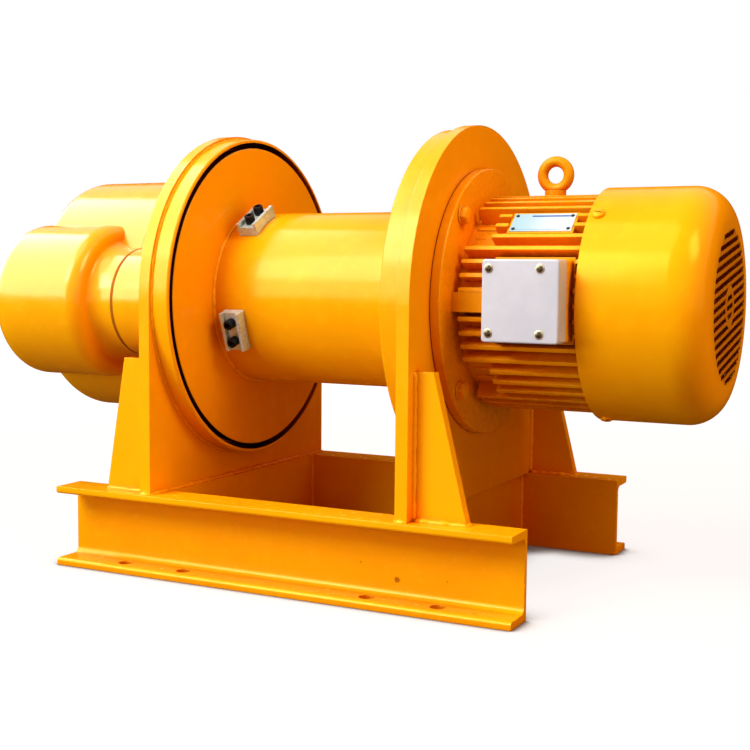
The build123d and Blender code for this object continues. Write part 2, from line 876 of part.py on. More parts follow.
def oil_plugs():
    """Filler plug above and drain plug below, on the case's outer end."""
    seat = left(case_end)
    plugs = []
    for y, z in oil_plug_places():
        shank = bar(seat, seat + case_end_wall, oil_plug_radius, y, z)
        plugs.append(shank + hex_prism(oil_plug_flats, seat - oil_plug_head, seat, y, z))
    return plugs


# Gear train
def ring_gear():
    """Fixed internal gear on the end of the base casting's tube."""
    spaces = tooth_outline(planet_module, ring_teeth, ring_phase, dedendum_factor * planet_module,
                           addendum_factor * planet_module, -tooth_thinning)
    section = Circle(ring_outer_radius) - make_face(Polyline(*spaces, close=True))
    return prism(section, left(ring_end), left(ring_start))


def planet_place(angle):
    y, z = polar(planet_orbit, angle)
    return y, axis_height + z


def planet_gear(angle):
    section = gear_face(planet_module, planet_teeth, angle + 180 + half_pitch(planet_teeth))
    section -= Circle(planet_pin_radius + running_gap)
    start = ring_start + planet_end_gap
    y, z = planet_place(angle)
    return prism(section, left(start + planet_width), left(start), y, z)


# The planets have a gap towards the sun, so an odd count of teeth puts a tooth towards the ring.
ring_phase = planet_angles[0] + (0 if planet_teeth % 2 else half_pitch(ring_teeth))


def planet_carrier():
    """Disc on the end of the drum's left stub, which carries the planet pins."""
    x0 = left(ring_start)
    x1 = left(carrier_start)
    solid = tube(x0, x1, carrier_radius, carrier_seat_radius + seat_gap)
    for angle in planet_angles:
        solid -= bar(x0, x1, planet_pin_radius + seat_gap, *planet_place(angle))
    return solid


def planet_pins():
    pins = []
    head_start = ring_start + 2 * planet_end_gap + planet_width - planet_pin_head_height
    for angle in planet_angles:
        y, z = planet_place(angle)
        head_end = left(head_start)
        pin = bar(head_end, left(carrier_start), planet_pin_radius, y, z)
        pins.append(pin + bar(head_end - planet_pin_head_height, head_end, planet_pin_head, y, z))
    return pins


def bull_gear():
    """Large gear that turns on the input shaft, with the sun gear cut on its hub."""
    x0 = left(bull_end)
    x1 = left(bull_start)
    solid = prism(gear_face(second_module, bull_teeth, mesh_angle + half_pitch(bull_teeth)), x0, x1)
    root = second_module * (bull_teeth / 2 - dedendum_factor)
    recess = (second_width - bull_web) / 2
    for face in (x0, x1 - recess):
        solid -= tube(face, face + recess, root - bull_rim, bull_hub_radius)
    hole_circle = (root - bull_rim + bull_hub_radius) / 2
    for index in range(bull_hole_count):
        y, z = polar(hole_circle, 360 * index / bull_hole_count)
        solid -= bar(x0, x1, bull_hole_radius, y, axis_height + z)
    solid += bar(x1, left(ring_end + planet_end_gap), bull_hub_radius)
    sun = gear_face(planet_module, sun_teeth, planet_angles[0])
    solid += prism(sun, left(ring_end + planet_end_gap), left(ring_start + sun_end_gap))
    return solid - bar(x0, left(ring_start), shaft_radius + running_gap)


def layshaft():
    """Layshaft with its pinion cut on it and a seat for the layshaft gear."""
    y = layshaft_y
    z = layshaft_z
    solid = bar(left(lay_bearing_left + shaft_bearing_width), left(lay_bearing_right),
                shaft_radius, y, z)
    solid += bar(left(first_end + gear_seat_overhang), left(bull_start - gear_seat_overhang),
                 gear_seat_radius, y, z)
    teeth = gear_face(second_module, pinion_teeth, mesh_angle + 180)
    return solid + prism(teeth, left(bull_end), left(bull_start), y, z)


def layshaft_gear():
    section = gear_face(first_module, layshaft_teeth, mesh_angle + 180 + half_pitch(layshaft_teeth))
    section -= Circle(gear_seat_radius + seat_gap)
    return prism(section, left(first_end), left(first_start), layshaft_y, layshaft_z)


def input_pinion():
    section = gear_face(first_module, input_teeth, mesh_angle)
    section -= Circle(shaft_radius + seat_gap)
    return prism(section, left(first_end), left(first_start))


def input_shaft():
    """Long shaft from the coupling, through the hollow drum, to the gear case's outer end."""
    return bar(left(input_bearing + shaft_bearing_width), shaft_meeting - shaft_joint_gap,
               shaft_radius)


def shaft_coupling():
    """Sleeve that joins the motor shaft to the input shaft, with two set screw holes."""
    x0 = shaft_meeting - coupling_length / 2
    x1 = shaft_meeting + coupling_length / 2
    solid = tube(x0, x1, coupling_radius, shaft_radius + seat_gap)
    for x in (x0 + coupling_length / 4, x1 - coupling_length / 4):
        solid -= Pos(x, 0, axis_height + coupling_radius) * Cylinder(set_screw_radius, coupling_radius)
    return solid


# Motor
def motor_bolt_places():
    places = [polar(motor_bolt_circle, angle) for angle in corner_angles]
    return [(y, axis_height + z) for y, z in places]


def motor_flange():
    """Drive-end bracket: mounting flange, spigot and bearing hub."""
    solid = bar(plate_outside, motor_start, motor_flange_radius)
    solid = chamfer(solid.edges().filter_by(GeomType.CIRCLE), edge_break)
    solid += bar(plate_outside - spigot_depth + open_gap, plate_outside, spigot_radius)
    solid += bar(motor_start, motor_start + register_depth, motor_bore_radius - seat_gap)
    hub_end = drive_bearing + shaft_bearing_width
    solid += bar(motor_start, hub_end, shaft_bearing_radius + bearing_wall)
    solid -= bar(drive_bearing, hub_end, shaft_bearing_radius + seat_gap)
    solid -= bar(plate_outside - spigot_depth, drive_bearing, shaft_radius + shaft_clearance)
    for y, z in motor_bolt_places():
        solid -= bar(plate_outside, motor_start, motor_bolt_radius + seat_gap, y, z)
    return solid


def motor_flange_bolts():
    bolts = []
    for y, z in motor_bolt_places():
        head_end = motor_start + motor_bolt_head
        bolt = bar(plate_inside, motor_start, motor_bolt_radius, y, z)
        bolts.append(bolt + hex_prism(motor_bolt_flats, motor_start, head_end, y, z))
    return bolts


def fin_sketch():
    """Cooling fins that stand out all round the housing."""
    length = fin_radius - motor_bore_radius
    fins = []
    for index in range(fin_count):
        angle = 360 * index / fin_count
        y, z = polar((fin_radius + motor_bore_radius) / 2, angle)
        fins.append(Pos(y, z) * Rot(0, 0, angle) * Rectangle(length, fin_thickness))
    return (Circle(motor_body_radius) + fins) & Circle(fin_radius)


def motor_frame():
    """Finned housing with its pads for the terminal box, the nameplate and the eye bolt."""
    fin_start = motor_start + fin_setback
    solid = prism(fin_sketch(), fin_start, motor_end)
    for angle in corner_angles:
        solid -= ray_block(angle, motor_body_radius + open_gap, fin_radius + pad_headroom,
                           bolt_access_width, fin_start, motor_start + bolt_access_length)
    solid += bar(motor_start, fin_start, motor_body_radius)
    half_width = terminal_width / 2 + terminal_pad_margin
    half_height = terminal_height / 2 + terminal_pad_margin
    core = -motor_body_radius / 2
    solid += block(terminal_x - half_width, terminal_x + half_width, box_back, core,
                   terminal_z - half_height, terminal_z + half_height)
    rib_z = terminal_z - lead_rib_drop
    solid += block(motor_start, terminal_x, -fin_radius, core,
                   rib_z - lead_rib_height / 2, rib_z + lead_rib_height / 2)
    solid -= block(terminal_x - half_width, terminal_x + half_width,
                   box_back - terminal_box_depth, box_back,
                   terminal_z - half_height, terminal_z + half_height)
    half_plate = nameplate_length / 2 + nameplate_margin
    pad_width = nameplate_width + 2 * nameplate_margin
    solid += ray_block(nameplate_angle, motor_bore_radius, nameplate_reach, pad_width,
                       nameplate_x - half_plate, nameplate_x + half_plate)
    solid -= ray_block(nameplate_angle, nameplate_reach, nameplate_reach + pad_headroom, pad_width,
                       nameplate_x - half_plate, nameplate_x + half_plate)
    boss = Pos(eye_x, 0, axis_height + eye_boss_reach / 2)
    solid += boss * Cylinder(eye_boss_radius, eye_boss_reach)
    spot = Pos(eye_x, 0, axis_height + eye_boss_reach + pad_headroom / 2)
    solid -= spot * Cylinder(eye_boss_radius, pad_headroom)
    solid -= bar(motor_start, motor_end, motor_bore_radius)
    hole_z = axis_height + eye_boss_reach - eye_shank_length / 2
    solid -= Pos(eye_x, 0, hole_z) * Cylinder(eye_shank_radius + seat_gap, eye_shank_length)
    wires = Pos(terminal_x, -motor_body_radius, terminal_z) * Rot(90, 0, 0)
    return solid - wires * Cylinder(terminal_wire_radius, motor_body_radius)


def motor_rear_bracket():
    """Rear end shield: register, bearing hub and the ears that the cowl is screwed to."""
    solid = bar(motor_end, rear_face, rear_bracket_radius)
    ear_end = motor_end + ear_length
    for angle in cowl_screw_angles:
        ear = ray_block(angle, motor_bore_radius, cowl_radius, ear_width,
                        motor_end, ear_end)
        solid += ear & bar(motor_end, ear_end, cowl_radius - cowl_wall - seat_gap)
    solid += bar(motor_end - register_depth, motor_end, motor_bore_radius - seat_gap)
    hub_start = rear_bearing - bearing_shoulder
    solid += bar(hub_start, motor_end, shaft_bearing_radius + bearing_wall)
    solid -= bar(hub_start, rear_bearing + shaft_bearing_width, shaft_bearing_radius + seat_gap)
    solid -= bar(hub_start, rear_face, shaft_radius + shaft_clearance)
    for angle in cowl_screw_angles:
        solid -= ray_bar(angle, cowl_radius - cowl_screw_depth, cowl_radius,
                         cowl_screw_radius + seat_gap, motor_end + cowl_screw_setback)
    return solid


def stator_core():
    half = stator_length / 2
    return tube(motor_middle - half, motor_middle + half, motor_bore_radius - seat_gap,
                stator_bore_radius)


def stator_windings():
    """End turns of the winding, one ring on each side of the core."""
    near = motor_middle - stator_length / 2
    far = motor_middle + stator_length / 2
    rings = []
    for x0, x1 in ((near - winding_overhang, near), (far, far + winding_overhang)):
        ring = tube(x0, x1, winding_outer_radius, winding_inner_radius)
        outer_end = x0 if x1 == near else x1
        rims = ring.edges().filter_by_position(Axis.X, outer_end - pick, outer_end + pick)
        rings.append(fillet(rims, winding_overhang / 3))
    return rings


def rotor():
    half = stator_length / 2
    radius = stator_bore_radius - rotor_gap
    solid = bar(motor_middle - half, motor_middle + half, radius)
    end = half + rotor_ring_length
    solid += bar(motor_middle - end, motor_middle + end, radius - rotor_ring_length / 2)
    return solid - bar(motor_middle - end, motor_middle + end, rotor_seat_radius + seat_gap)


def motor_shaft():
    seat = stator_length / 2 + 2 * rotor_ring_length
    solid = bar(shaft_meeting, fan_end, shaft_radius)
    return solid + bar(motor_middle - seat, motor_middle + seat, rotor_seat_radius)


# Brake
def brake_post_places():
    places = [polar(brake_post_circle, 90 + 360 * index / brake_post_count)
              for index in range(brake_post_count)]
    return [(y, axis_height + z) for y, z in places]


def brake_disc():
    """Friction disc on the motor shaft."""
    end = brake_disc_start + brake_disc_thickness
    return tube(brake_disc_start, end, brake_disc_radius, shaft_radius + seat_gap)


def brake_armature():
    """Plate that the brake springs press on the friction disc and the magnet pulls back."""
    end = armature_start + armature_thickness
    solid = bar(armature_start, end, brake_disc_radius)
    for y, z in brake_post_places():
        solid += bar(armature_start, end, armature_ear_radius, y, z)
    for y, z in brake_post_places():
        solid -= bar(armature_start, end, brake_post_radius + open_gap, y, z)
    return solid - bar(armature_start, end, armature_bore)


def brake_magnet():
    """Magnet body on three posts that stand on the rear bracket and guide the armature."""
    solid = tube(magnet_start, magnet_end, magnet_radius, magnet_bore)
    for y, z in brake_post_places():
        solid += bar(magnet_start, magnet_end, armature_ear_radius, y, z)
        solid += bar(rear_face, magnet_start, brake_post_radius, y, z)
    return solid


# Fan and cowl
def cooling_fan():
    solid = bar(fan_start, fan_end, fan_hub_radius)
    solid += bar(fan_start, fan_start + fan_disc_thickness, fan_disc_radius)
    for index in range(fan_blade_count):
        solid += ray_block(360 * index / fan_blade_count, fan_hub_radius / 2, fan_radius,
                           fan_blade_thickness, fan_start, fan_end)
    return solid - bar(fan_start, fan_end, shaft_radius + seat_gap)


def grille_sketch():
    """Parallel slots inside a circle, broken by a plain ring round the middle."""
    pitch = 2 * grille_radius / grille_slot_count
    slots = []
    for index in range(grille_slot_count):
        offset = (index - (grille_slot_count - 1) / 2) * pitch
        reach = sqrt(grille_radius**2 - offset**2)
        slots.append(Pos(0, offset) * SlotOverall(2 * reach, grille_slot_width))
    section = Sketch() + slots
    ring = Circle(grille_ring_outer) - Circle(grille_ring_inner)
    return Rot(0, 0, grille_tilt) * (section - ring)


def fan_cowl():
    solid = rounded_bar(motor_end, cowl_end, cowl_radius, cowl_round, False)
    solid -= rounded_bar(motor_end, cowl_end - cowl_wall, cowl_radius - cowl_wall,
                         cowl_round - cowl_wall, False)
    solid -= prism(grille_sketch(), cowl_end - 2 * cowl_wall, cowl_end + cowl_wall)
    for angle in cowl_screw_angles:
        solid -= ray_bar(angle, cowl_radius - 2 * cowl_wall, cowl_radius + cowl_wall,
                         cowl_screw_radius + seat_gap, motor_end + cowl_screw_setback)
    return solid


def fan_cowl_screws():
    """Round-head screws that hold the cowl to the ears of the rear bracket."""
    x = motor_end + cowl_screw_setback
    screws = []
    for angle in cowl_screw_angles:
        head = ray_bar(angle, cowl_radius, cowl_radius + cowl_screw_head_height,
                       cowl_screw_head_radius, x)
        shank = ray_bar(angle, cowl_radius - cowl_screw_depth, cowl_radius, cowl_screw_radius, x)
        screws.append(head + shank)
    return screws


# Terminal box
def terminal_screw_places():
    x0 = terminal_x + terminal_screw_shift
    half_x = terminal_screw_pitch_x / 2
    half_z = terminal_screw_pitch_z / 2
    return [(x0 + i * half_x, terminal_z + j * half_z) for i in (-1, 1) for j in (-1, 1)]


def level_bar(x, z, y0, y1, radius):
    """Round bar along Y."""
    return Pos(x, (y0 + y1) / 2, z) * Rot(90, 0, 0) * Cylinder(radius, abs(y1 - y0))


def terminal_shell(y0, y1, wall, corner):
    """Rounded box along Y with a wall all round, open towards y1."""
    half_x = terminal_width / 2
    half_z = terminal_height / 2
    solid = block(terminal_x - half_x, terminal_x + half_x, y0, y1,
                  terminal_z - half_z, terminal_z + half_z)
    solid = fillet(solid.edges().filter_by(Axis.Y), corner)
    inner = wall if y1 > y0 else -wall
    return solid - block(terminal_x - half_x + wall, terminal_x + half_x - wall, y0 + inner, y1,
                         terminal_z - half_z + wall, terminal_z + half_z - wall)


def terminal_box():
    solid = terminal_shell(box_back, box_front, terminal_box_wall, terminal_corner_round)
    for x, z in terminal_screw_places():
        post = level_bar(x, z, box_back, box_front, terminal_post_radius)
        solid += post
    for x, z in terminal_screw_places():
        solid -= level_bar(x, z, box_front, box_front + terminal_screw_depth,
                           terminal_screw_radius + seat_gap)
    solid -= level_bar(terminal_x, terminal_z, box_back, box_front, lead_hole_radius)
    floor_z = terminal_z - terminal_height / 2
    entry = Pos(terminal_x, (box_back + box_front - terminal_box_wall) / 2, floor_z)
    return solid - entry * Cylinder(cable_entry_radius, 3 * terminal_box_wall)


def terminal_box_cover():
    solid = terminal_shell(cover_front, box_front, terminal_cover_wall, terminal_corner_round)
    rims = solid.faces().sort_by(Axis.Y)[0].outer_wire().edges()
    solid = fillet(rims, terminal_face_round)
    for x, z in terminal_screw_places():
        solid += level_bar(x, z, cover_front + terminal_cover_wall, box_front, terminal_post_radius)
    for x, z in terminal_screw_places():
        solid -= level_bar(x, z, cover_front, box_front, terminal_screw_radius + seat_gap)
    return solid


def terminal_cover_screws():
    screws = []
    for x, z in terminal_screw_places():
        head_front = cover_front - terminal_screw_head_height
        screw = level_bar(x, z, head_front, cover_front, terminal_screw_head_radius)
        screw += level_bar(x, z, cover_front, box_front + terminal_screw_depth,
                           terminal_screw_radius)
        slot_depth = terminal_screw_head_height / 2
        slot = block(x - terminal_screw_head_radius, x + terminal_screw_head_radius,
                     head_front, head_front + slot_depth,
                     z - terminal_screw_slot / 2, z + terminal_screw_slot / 2)
        screws.append(screw - slot)
    return screws


def terminal_block():
    """Moulded block with two rows of connection studs, on the box's back wall."""
    back = box_back - terminal_box_wall
    front = back - block_depth
    solid = block(terminal_x - block_width / 2, terminal_x + block_width / 2, front, back,
                  terminal_z - block_height / 2, terminal_z + block_height / 2)
    for i in (-1, 0, 1):
        for j in (-0.5, 0.5):
            solid += level_bar(terminal_x + i * stud_pitch, terminal_z + j * stud_pitch,
                               front - stud_height, front, stud_radius)
    return solid - level_bar(terminal_x, terminal_z, front, back, lead_hole_radius)


def nameplate():
    """Blank plate on its pad."""
    return ray_block(nameplate_angle, nameplate_reach, nameplate_reach + nameplate_thickness,
                     nameplate_width, nameplate_x - nameplate_length / 2,
                     nameplate_x + nameplate_length / 2)


def eye_bolt():
    """Lifting eye on top of the motor, its ring in the plane of the drum axis."""
    ring = Pos(eye_x, 0, eye_z) * Rot(90, 0, 0) * Torus(eye_ring_radius, eye_rod_radius)
    seat = axis_height + eye_boss_reach
    collar = Pos(eye_x, 0, seat + eye_collar_height / 2)
    ring += collar * Cylinder(eye_collar_radius, eye_collar_height)
    shank = Pos(eye_x, 0, seat - eye_shank_length / 2)
    return ring + shank * Cylinder(eye_shank_radius, eye_shank_length)


# Every separate piece, under the name of its node
front_rail = rail()
right_flange = drum_flange()
nodes = {
    "front_rail": front_rail,
    "rear_rail": mirror(front_rail, about=Plane.XZ),
    "cross_ties": cross_ties(),
    "left_support_plate": left_support_plate(),
    "right_support_plate": right_support_plate(),
    "shroud_rings": shroud_rings(),
    "left_gussets": [mirrored(solid) for solid in gussets(left_gusset_top, left_gusset_foot)],
    "right_gussets": gussets(right_gusset_top, right_gusset_foot),
    "drum_barrel": drum_barrel(),
    "left_drum_flange": mirrored(right_flange),
    "right_drum_flange": right_flange,
    "left_drum_hub": left_drum_hub(),
    "right_drum_hub": right_drum_hub(),
    "rope_clamps": rope_clamps(),
    "rope_clamp_screws": rope_clamp_screws(),
    "bearing_housings": bearing_housings(),
    "drum_bearing_outer_races": drum_bearing_outer_races(),
    "drum_bearing_inner_races": drum_bearing_inner_races(),
    "drum_bearing_balls": drum_bearing_balls(),
    "drum_oil_seal": drum_oil_seal(),
    "shaft_bearings": shaft_bearings(),
    "gear_case": gear_case(),
    "gear_case_base": gear_case_base(),
    "gear_case_bolts": gear_case_bolts(),
    "gear_case_cover": gear_case_cover(),
    "gear_case_cover_bolts": gear_case_cover_bolts(),
    "oil_plugs": oil_plugs(),
    "ring_gear": ring_gear(),
    "planet_carrier": planet_carrier(),
    "planet_pins": planet_pins(),
    "bull_gear": bull_gear(),
    "layshaft": layshaft(),
    "layshaft_gear": layshaft_gear(),
    "input_pinion": input_pinion(),
    "input_shaft": input_shaft(),
    "shaft_coupling": shaft_coupling(),
    "motor_flange": motor_flange(),
    "motor_flange_bolts": motor_flange_bolts(),
    "motor_frame": motor_frame(),
    "motor_rear_bracket": motor_rear_bracket(),
    "stator_core": stator_core(),
    "stator_windings": stator_windings(),
    "rotor": rotor(),
    "motor_shaft": motor_shaft(),
    "brake_disc": brake_disc(),
    "brake_armature": brake_armature(),
    "brake_magnet": brake_magnet(),
    "cooling_fan": cooling_fan(),
    "fan_cowl": fan_cowl(),
    "fan_cowl_screws": fan_cowl_screws(),
    "terminal_box": terminal_box(),
    "terminal_box_cover": terminal_box_cover(),
    "terminal_cover_screws": terminal_cover_screws(),
    "terminal_block": terminal_block(),
    "nameplate": nameplate(),
    "eye_bolt": eye_bolt(),
}
for index, angle in enumerate(planet_angles):
    nodes[f"planet_gear_{index + 1}"] = planet_gear(angle)

os.makedirs("parts", exist_ok=True)
for name, shape in nodes.items():
    solids = Compound(children=shape) if isinstance(shape, list) else shape
    export_step(solids, f"parts/{name}.step")
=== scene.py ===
import json
import math
import random

import bmesh
import bpy
from mathutils import Matrix, Vector


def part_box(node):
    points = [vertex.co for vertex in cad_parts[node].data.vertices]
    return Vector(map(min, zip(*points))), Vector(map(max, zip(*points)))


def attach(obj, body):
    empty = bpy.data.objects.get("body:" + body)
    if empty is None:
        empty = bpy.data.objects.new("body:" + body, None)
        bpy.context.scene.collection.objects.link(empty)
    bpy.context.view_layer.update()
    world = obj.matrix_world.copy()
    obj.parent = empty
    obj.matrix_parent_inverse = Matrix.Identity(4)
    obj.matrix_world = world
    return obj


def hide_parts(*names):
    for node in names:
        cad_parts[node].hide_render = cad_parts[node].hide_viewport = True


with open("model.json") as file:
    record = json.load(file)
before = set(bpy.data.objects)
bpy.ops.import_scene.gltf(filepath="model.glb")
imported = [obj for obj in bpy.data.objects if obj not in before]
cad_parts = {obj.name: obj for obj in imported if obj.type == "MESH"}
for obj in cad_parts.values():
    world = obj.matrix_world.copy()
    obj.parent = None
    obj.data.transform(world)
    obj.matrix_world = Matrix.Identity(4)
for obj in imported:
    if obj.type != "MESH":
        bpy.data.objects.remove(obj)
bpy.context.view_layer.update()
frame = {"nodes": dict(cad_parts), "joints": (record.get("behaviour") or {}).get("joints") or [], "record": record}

# The scene is in metres, and lengths are written in millimetres
mm = 0.001
tau = 2 * math.pi

# Camera
camera_place = Vector((594.69, -1127.31, 300.29)) * mm
camera_azimuth = math.radians(26.771)
camera_elevation = math.radians(4.883)
camera_roll = math.radians(0.504)
camera_lens = 59.08
camera_sensor = 36.0
camera_near = 0.05
camera_far = 60.0

# Main places of the winch, read from the frame
joint_places = {joint["name"]: joint.get("pos_m") for joint in frame["joints"]}
axis_point = Vector(joint_places["drum_spin"])
layshaft_point = Vector(joint_places["layshaft_spin"])
rail_lo, rail_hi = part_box("front_rail")
ties_lo, ties_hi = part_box("cross_ties")
left_plate_lo, left_plate_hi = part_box("left_support_plate")
right_plate_lo, right_plate_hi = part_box("right_support_plate")
left_gusset_lo, left_gusset_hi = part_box("left_gussets")
right_gusset_lo, right_gusset_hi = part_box("right_gussets")
barrel_lo, barrel_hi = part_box("drum_barrel")
case_base_lo, case_base_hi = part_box("gear_case_base")
cowl_lo, cowl_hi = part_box("fan_cowl")
nameplate_lo, nameplate_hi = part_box("nameplate")
plate_foot = left_plate_lo.z
shroud_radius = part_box("shroud_rings")[1].y
barrel_radius = (barrel_hi.z - barrel_lo.z) / 2
drum_flange_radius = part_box("left_drum_flange")[1].y
cowl_radius = cowl_hi.y
case_radius = case_base_hi.y
boss_radius = layshaft_point.y - case_base_lo.y
seam_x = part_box("gear_case")[1].x
cover_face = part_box("terminal_box_cover")[0].y

# Sizes that the boxes don't give
gusset_thickness = 10 * mm
tie_thickness = 10 * mm
shroud_wall = 3.5 * mm
motor_flange_thickness = 10 * mm
motor_flange_seat = right_plate_hi.x + motor_flange_thickness
grille_inset = 38.5 * mm
grille_radius = cowl_radius - grille_inset
nameplate_angle = math.radians(48)
nameplate_length = 58 * mm
nameplate_width = 24 * mm
nameplate_reach = 99.8 * mm

# Lengths over which paint rounds its edges, takes painted shade in recesses and dark dirt with painted
# shade in corners, and the height of its orange peel
edge_round = 1.2 * mm
painted_shade_reach = 90 * mm
corner_reach = 9 * mm
peel_height = 0.012 * mm

# Paint, linear colours
paint_deep = (0.91, 0.395, 0.0012, 1)
paint_main = (0.94, 0.440, 0.0016, 1)
paint_light = (0.95, 0.490, 0.0040, 1)
paint_edge = (0.96, 0.600, 0.0400, 1)
# Painted shade: a deep red tone laid into recesses
painted_recess_shade = (0.76, 0.105, 0.0010, 1)
paint_dull = (0.42, 0.170, 0.0060, 1)
# Dirt with painted shade: a dark red-brown for corners and for the grille's slots
corner_dirt_and_shade = (0.16, 0.016, 0.0010, 1)
# Painted shade: near black for the gap round the drum flanges
gap_painted_shade = (0.030, 0.006, 0.0015, 1)
bare_mark = (0.160, 0.034, 0.0040, 1)
gloss_tint = (1.0, 0.92, 0.78, 1)

# Dirt with painted shade for the corners of bare metal, and tones of bare iron with its rust, linear colours
steel_corner_dirt_and_shade = (0.020, 0.017, 0.014, 1)
zinc_corner_dirt_and_shade = (0.050, 0.030, 0.018, 1)
iron_dark = (0.045, 0.043, 0.042, 1)
iron_light = (0.16, 0.155, 0.15, 1)
iron_rust = (0.13, 0.055, 0.025, 1)

# Nameplate, linear colours: each tone from the dark to the light of its grain
nameplate_cool = (0.27, 0.52, 0.64, 1), (0.36, 0.60, 0.71, 1)
nameplate_pale = (0.47, 0.62, 0.67, 1), (0.55, 0.68, 0.72, 1)
head_line_tone = (0.04, 0.12, 0.42, 1)
foot_line_tone = (0.16, 0.40, 0.66, 1)
ruled_line_tone = (0.30, 0.48, 0.62, 1)


# Node helpers
def node(tree, kind, inputs=None, **settings):
    """A shader node with its settings, its values, and links where an input is a socket."""
    made = tree.nodes.new("ShaderNode" + kind)
    for key, value in settings.items():
        setattr(made, key, value)
    for key, value in (inputs or {}).items():
        if isinstance(value, bpy.types.NodeSocket):
            tree.links.new(value, made.inputs[key])
        else:
            made.inputs[key].default_value = value
    return made


def calc(tree, operation, first, second=0.0):
    return node(tree, "Math", {0: first, 1: second}, operation=operation).outputs[0]


def product(tree, result, *factors):
    for factor in factors:
        result = calc(tree, "MULTIPLY", result, factor)
    return result


def vector_calc(tree, operation, first, second, output=0):
    return node(tree, "VectorMath", {0: first, 1: second}, operation=operation).outputs[output]


def mix(tree, factor, first, second):
    return node(tree, "Mix", {0: factor, 6: first, 7: second}, data_type="RGBA").outputs[2]


def between(tree, value, low, high, to_low=0.0, to_high=1.0):
    """A smooth step from one value to another as the input goes from low to high."""
    inputs = {0: value, 1: low, 2: high, 3: to_low, 4: to_high}
    return node(tree, "MapRange", inputs, interpolation_type="SMOOTHSTEP").outputs[0]


def span(tree, value, lowest, highest):
    """1 where a length lies between two limits in millimetres."""
    edge = 0.15 * mm
    rising = between(tree, value, lowest * mm - edge, lowest * mm + edge)
    falling = between(tree, value, highest * mm + edge, highest * mm - edge)
    return product(tree, rising, falling)


def noise(tree, coords, scale, detail=3.0, roughness=0.55):
    inputs = {"Vector": coords, "Scale": scale, "Detail": detail, "Roughness": roughness}
    return node(tree, "TexNoise", inputs).outputs[0]


def stretched(tree, coords, scale):
    return node(tree, "Mapping", {"Vector": coords, "Scale": scale}).outputs[0]


def bump(tree, height, distance, normal=None):
    inputs = {"Height": height, "Distance": distance}
    if normal is not None:
        inputs["Normal"] = normal
    return node(tree, "Bump", inputs).outputs[0]


def new_material(name):
    """A material with its tree, its shader and the coordinates of the row frame."""
    made = bpy.data.materials.new(name)
    made.use_nodes = True
    tree = made.node_tree
    shader = tree.nodes["Principled BSDF"]
    coords = node(tree, "TexCoord").outputs["Object"]
    return made, tree, shader, coords


def rounded_normal(tree, radius):
    return node(tree, "Bevel", {"Radius": radius}, samples=4).outputs[0]


def edge_mask(tree, normal):
    """1 on sharp outer edges and 0 on flat faces, from the rounded normal."""
    face = node(tree, "NewGeometry").outputs["Normal"]
    agreement = vector_calc(tree, "DOT_PRODUCT", normal, face, "Value")
    return between(tree, agreement, 0.99, 0.80)


def crevice_mask(tree, distance, open_level, closed_level):
    """1 deep in corners and 0 on open faces."""
    reach = node(tree, "AmbientOcclusion", {"Distance": distance}, samples=6).outputs["AO"]
    return between(tree, reach, open_level, closed_level)


def axis_distance(tree, coords):
    """Distance from the drum axis."""
    local = vector_calc(tree, "SUBTRACT", coords, axis_point)
    across = vector_calc(tree, "MULTIPLY", local, (0, 1, 1))
    return node(tree, "VectorMath", {0: across}, operation="LENGTH").outputs["Value"]


# Paint
def flange_gap(tree, coords, far_strength):
    """1 on the walls of the gap between a drum flange and its shroud ring, painted dark as shade there, and
    the far strength on their rear side, where the painted shade is lighter."""
    radius = axis_distance(tree, coords)
    outside_flange = between(tree, radius, drum_flange_radius - 0.5 * mm, drum_flange_radius - 0.1 * mm)
    wall = shroud_radius - shroud_wall
    inside_shroud = between(tree, radius, wall + 0.25 * mm, wall + 0.05 * mm)
    places = node(tree, "SeparateXYZ", {0: coords}).outputs
    plate_face = right_plate_lo.x
    x = calc(tree, "ABSOLUTE", places[0])
    inside_plates = between(tree, x, plate_face + 0.3 * mm, plate_face + 0.1 * mm)
    strength = between(tree, places[1], 20 * mm, 130 * mm, 1.0, far_strength)
    return product(tree, outside_flange, inside_shroud, inside_plates, strength)


# Painted shade in the flange gaps: half strength towards the rear on the shroud rings, full on the drum flanges
def shroud_gap_shade(tree, coords):
    return flange_gap(tree, coords, 0.5), gap_painted_shade


def drum_gap_shade(tree, coords):
    return flange_gap(tree, coords, 1.0), gap_painted_shade


def grille_dust_and_shade(tree, coords):
    """Dust and painted shade in the cowl's grille: dark and thick on the walls of the slots, where shade falls,
    and thin on the bars between them.
    """
    rim = 2.0 * mm
    inside = between(tree, axis_distance(tree, coords), grille_radius + rim, grille_radius - rim)
    x = node(tree, "SeparateXYZ", {0: coords}).outputs[0]
    at_end = between(tree, x, cowl_hi.x - 3.5 * mm, cowl_hi.x - 2.5 * mm)
    thickness = between(tree, x, cowl_hi.x - 0.1 * mm, cowl_hi.x - 0.5 * mm, 0.40, 1.0)
    return product(tree, inside, at_end, thickness), corner_dirt_and_shade


def stained(tree, coords, tone, marks):
    """Brown marks with ragged rims on a tone: each has a place, a radius and a strength."""
    ragged = noise(tree, coords, 420.0, 4.0, 0.65)
    for place, radius, strength in marks:
        offset = vector_calc(tree, "DISTANCE", coords, place, "Value")
        reach = calc(tree, "ADD", offset, product(tree, ragged, 1.4 * radius))
        tone = mix(tree, between(tree, reach, 1.7 * radius, 1.1 * radius, 0.0, strength), tone, bare_mark)
    return tone


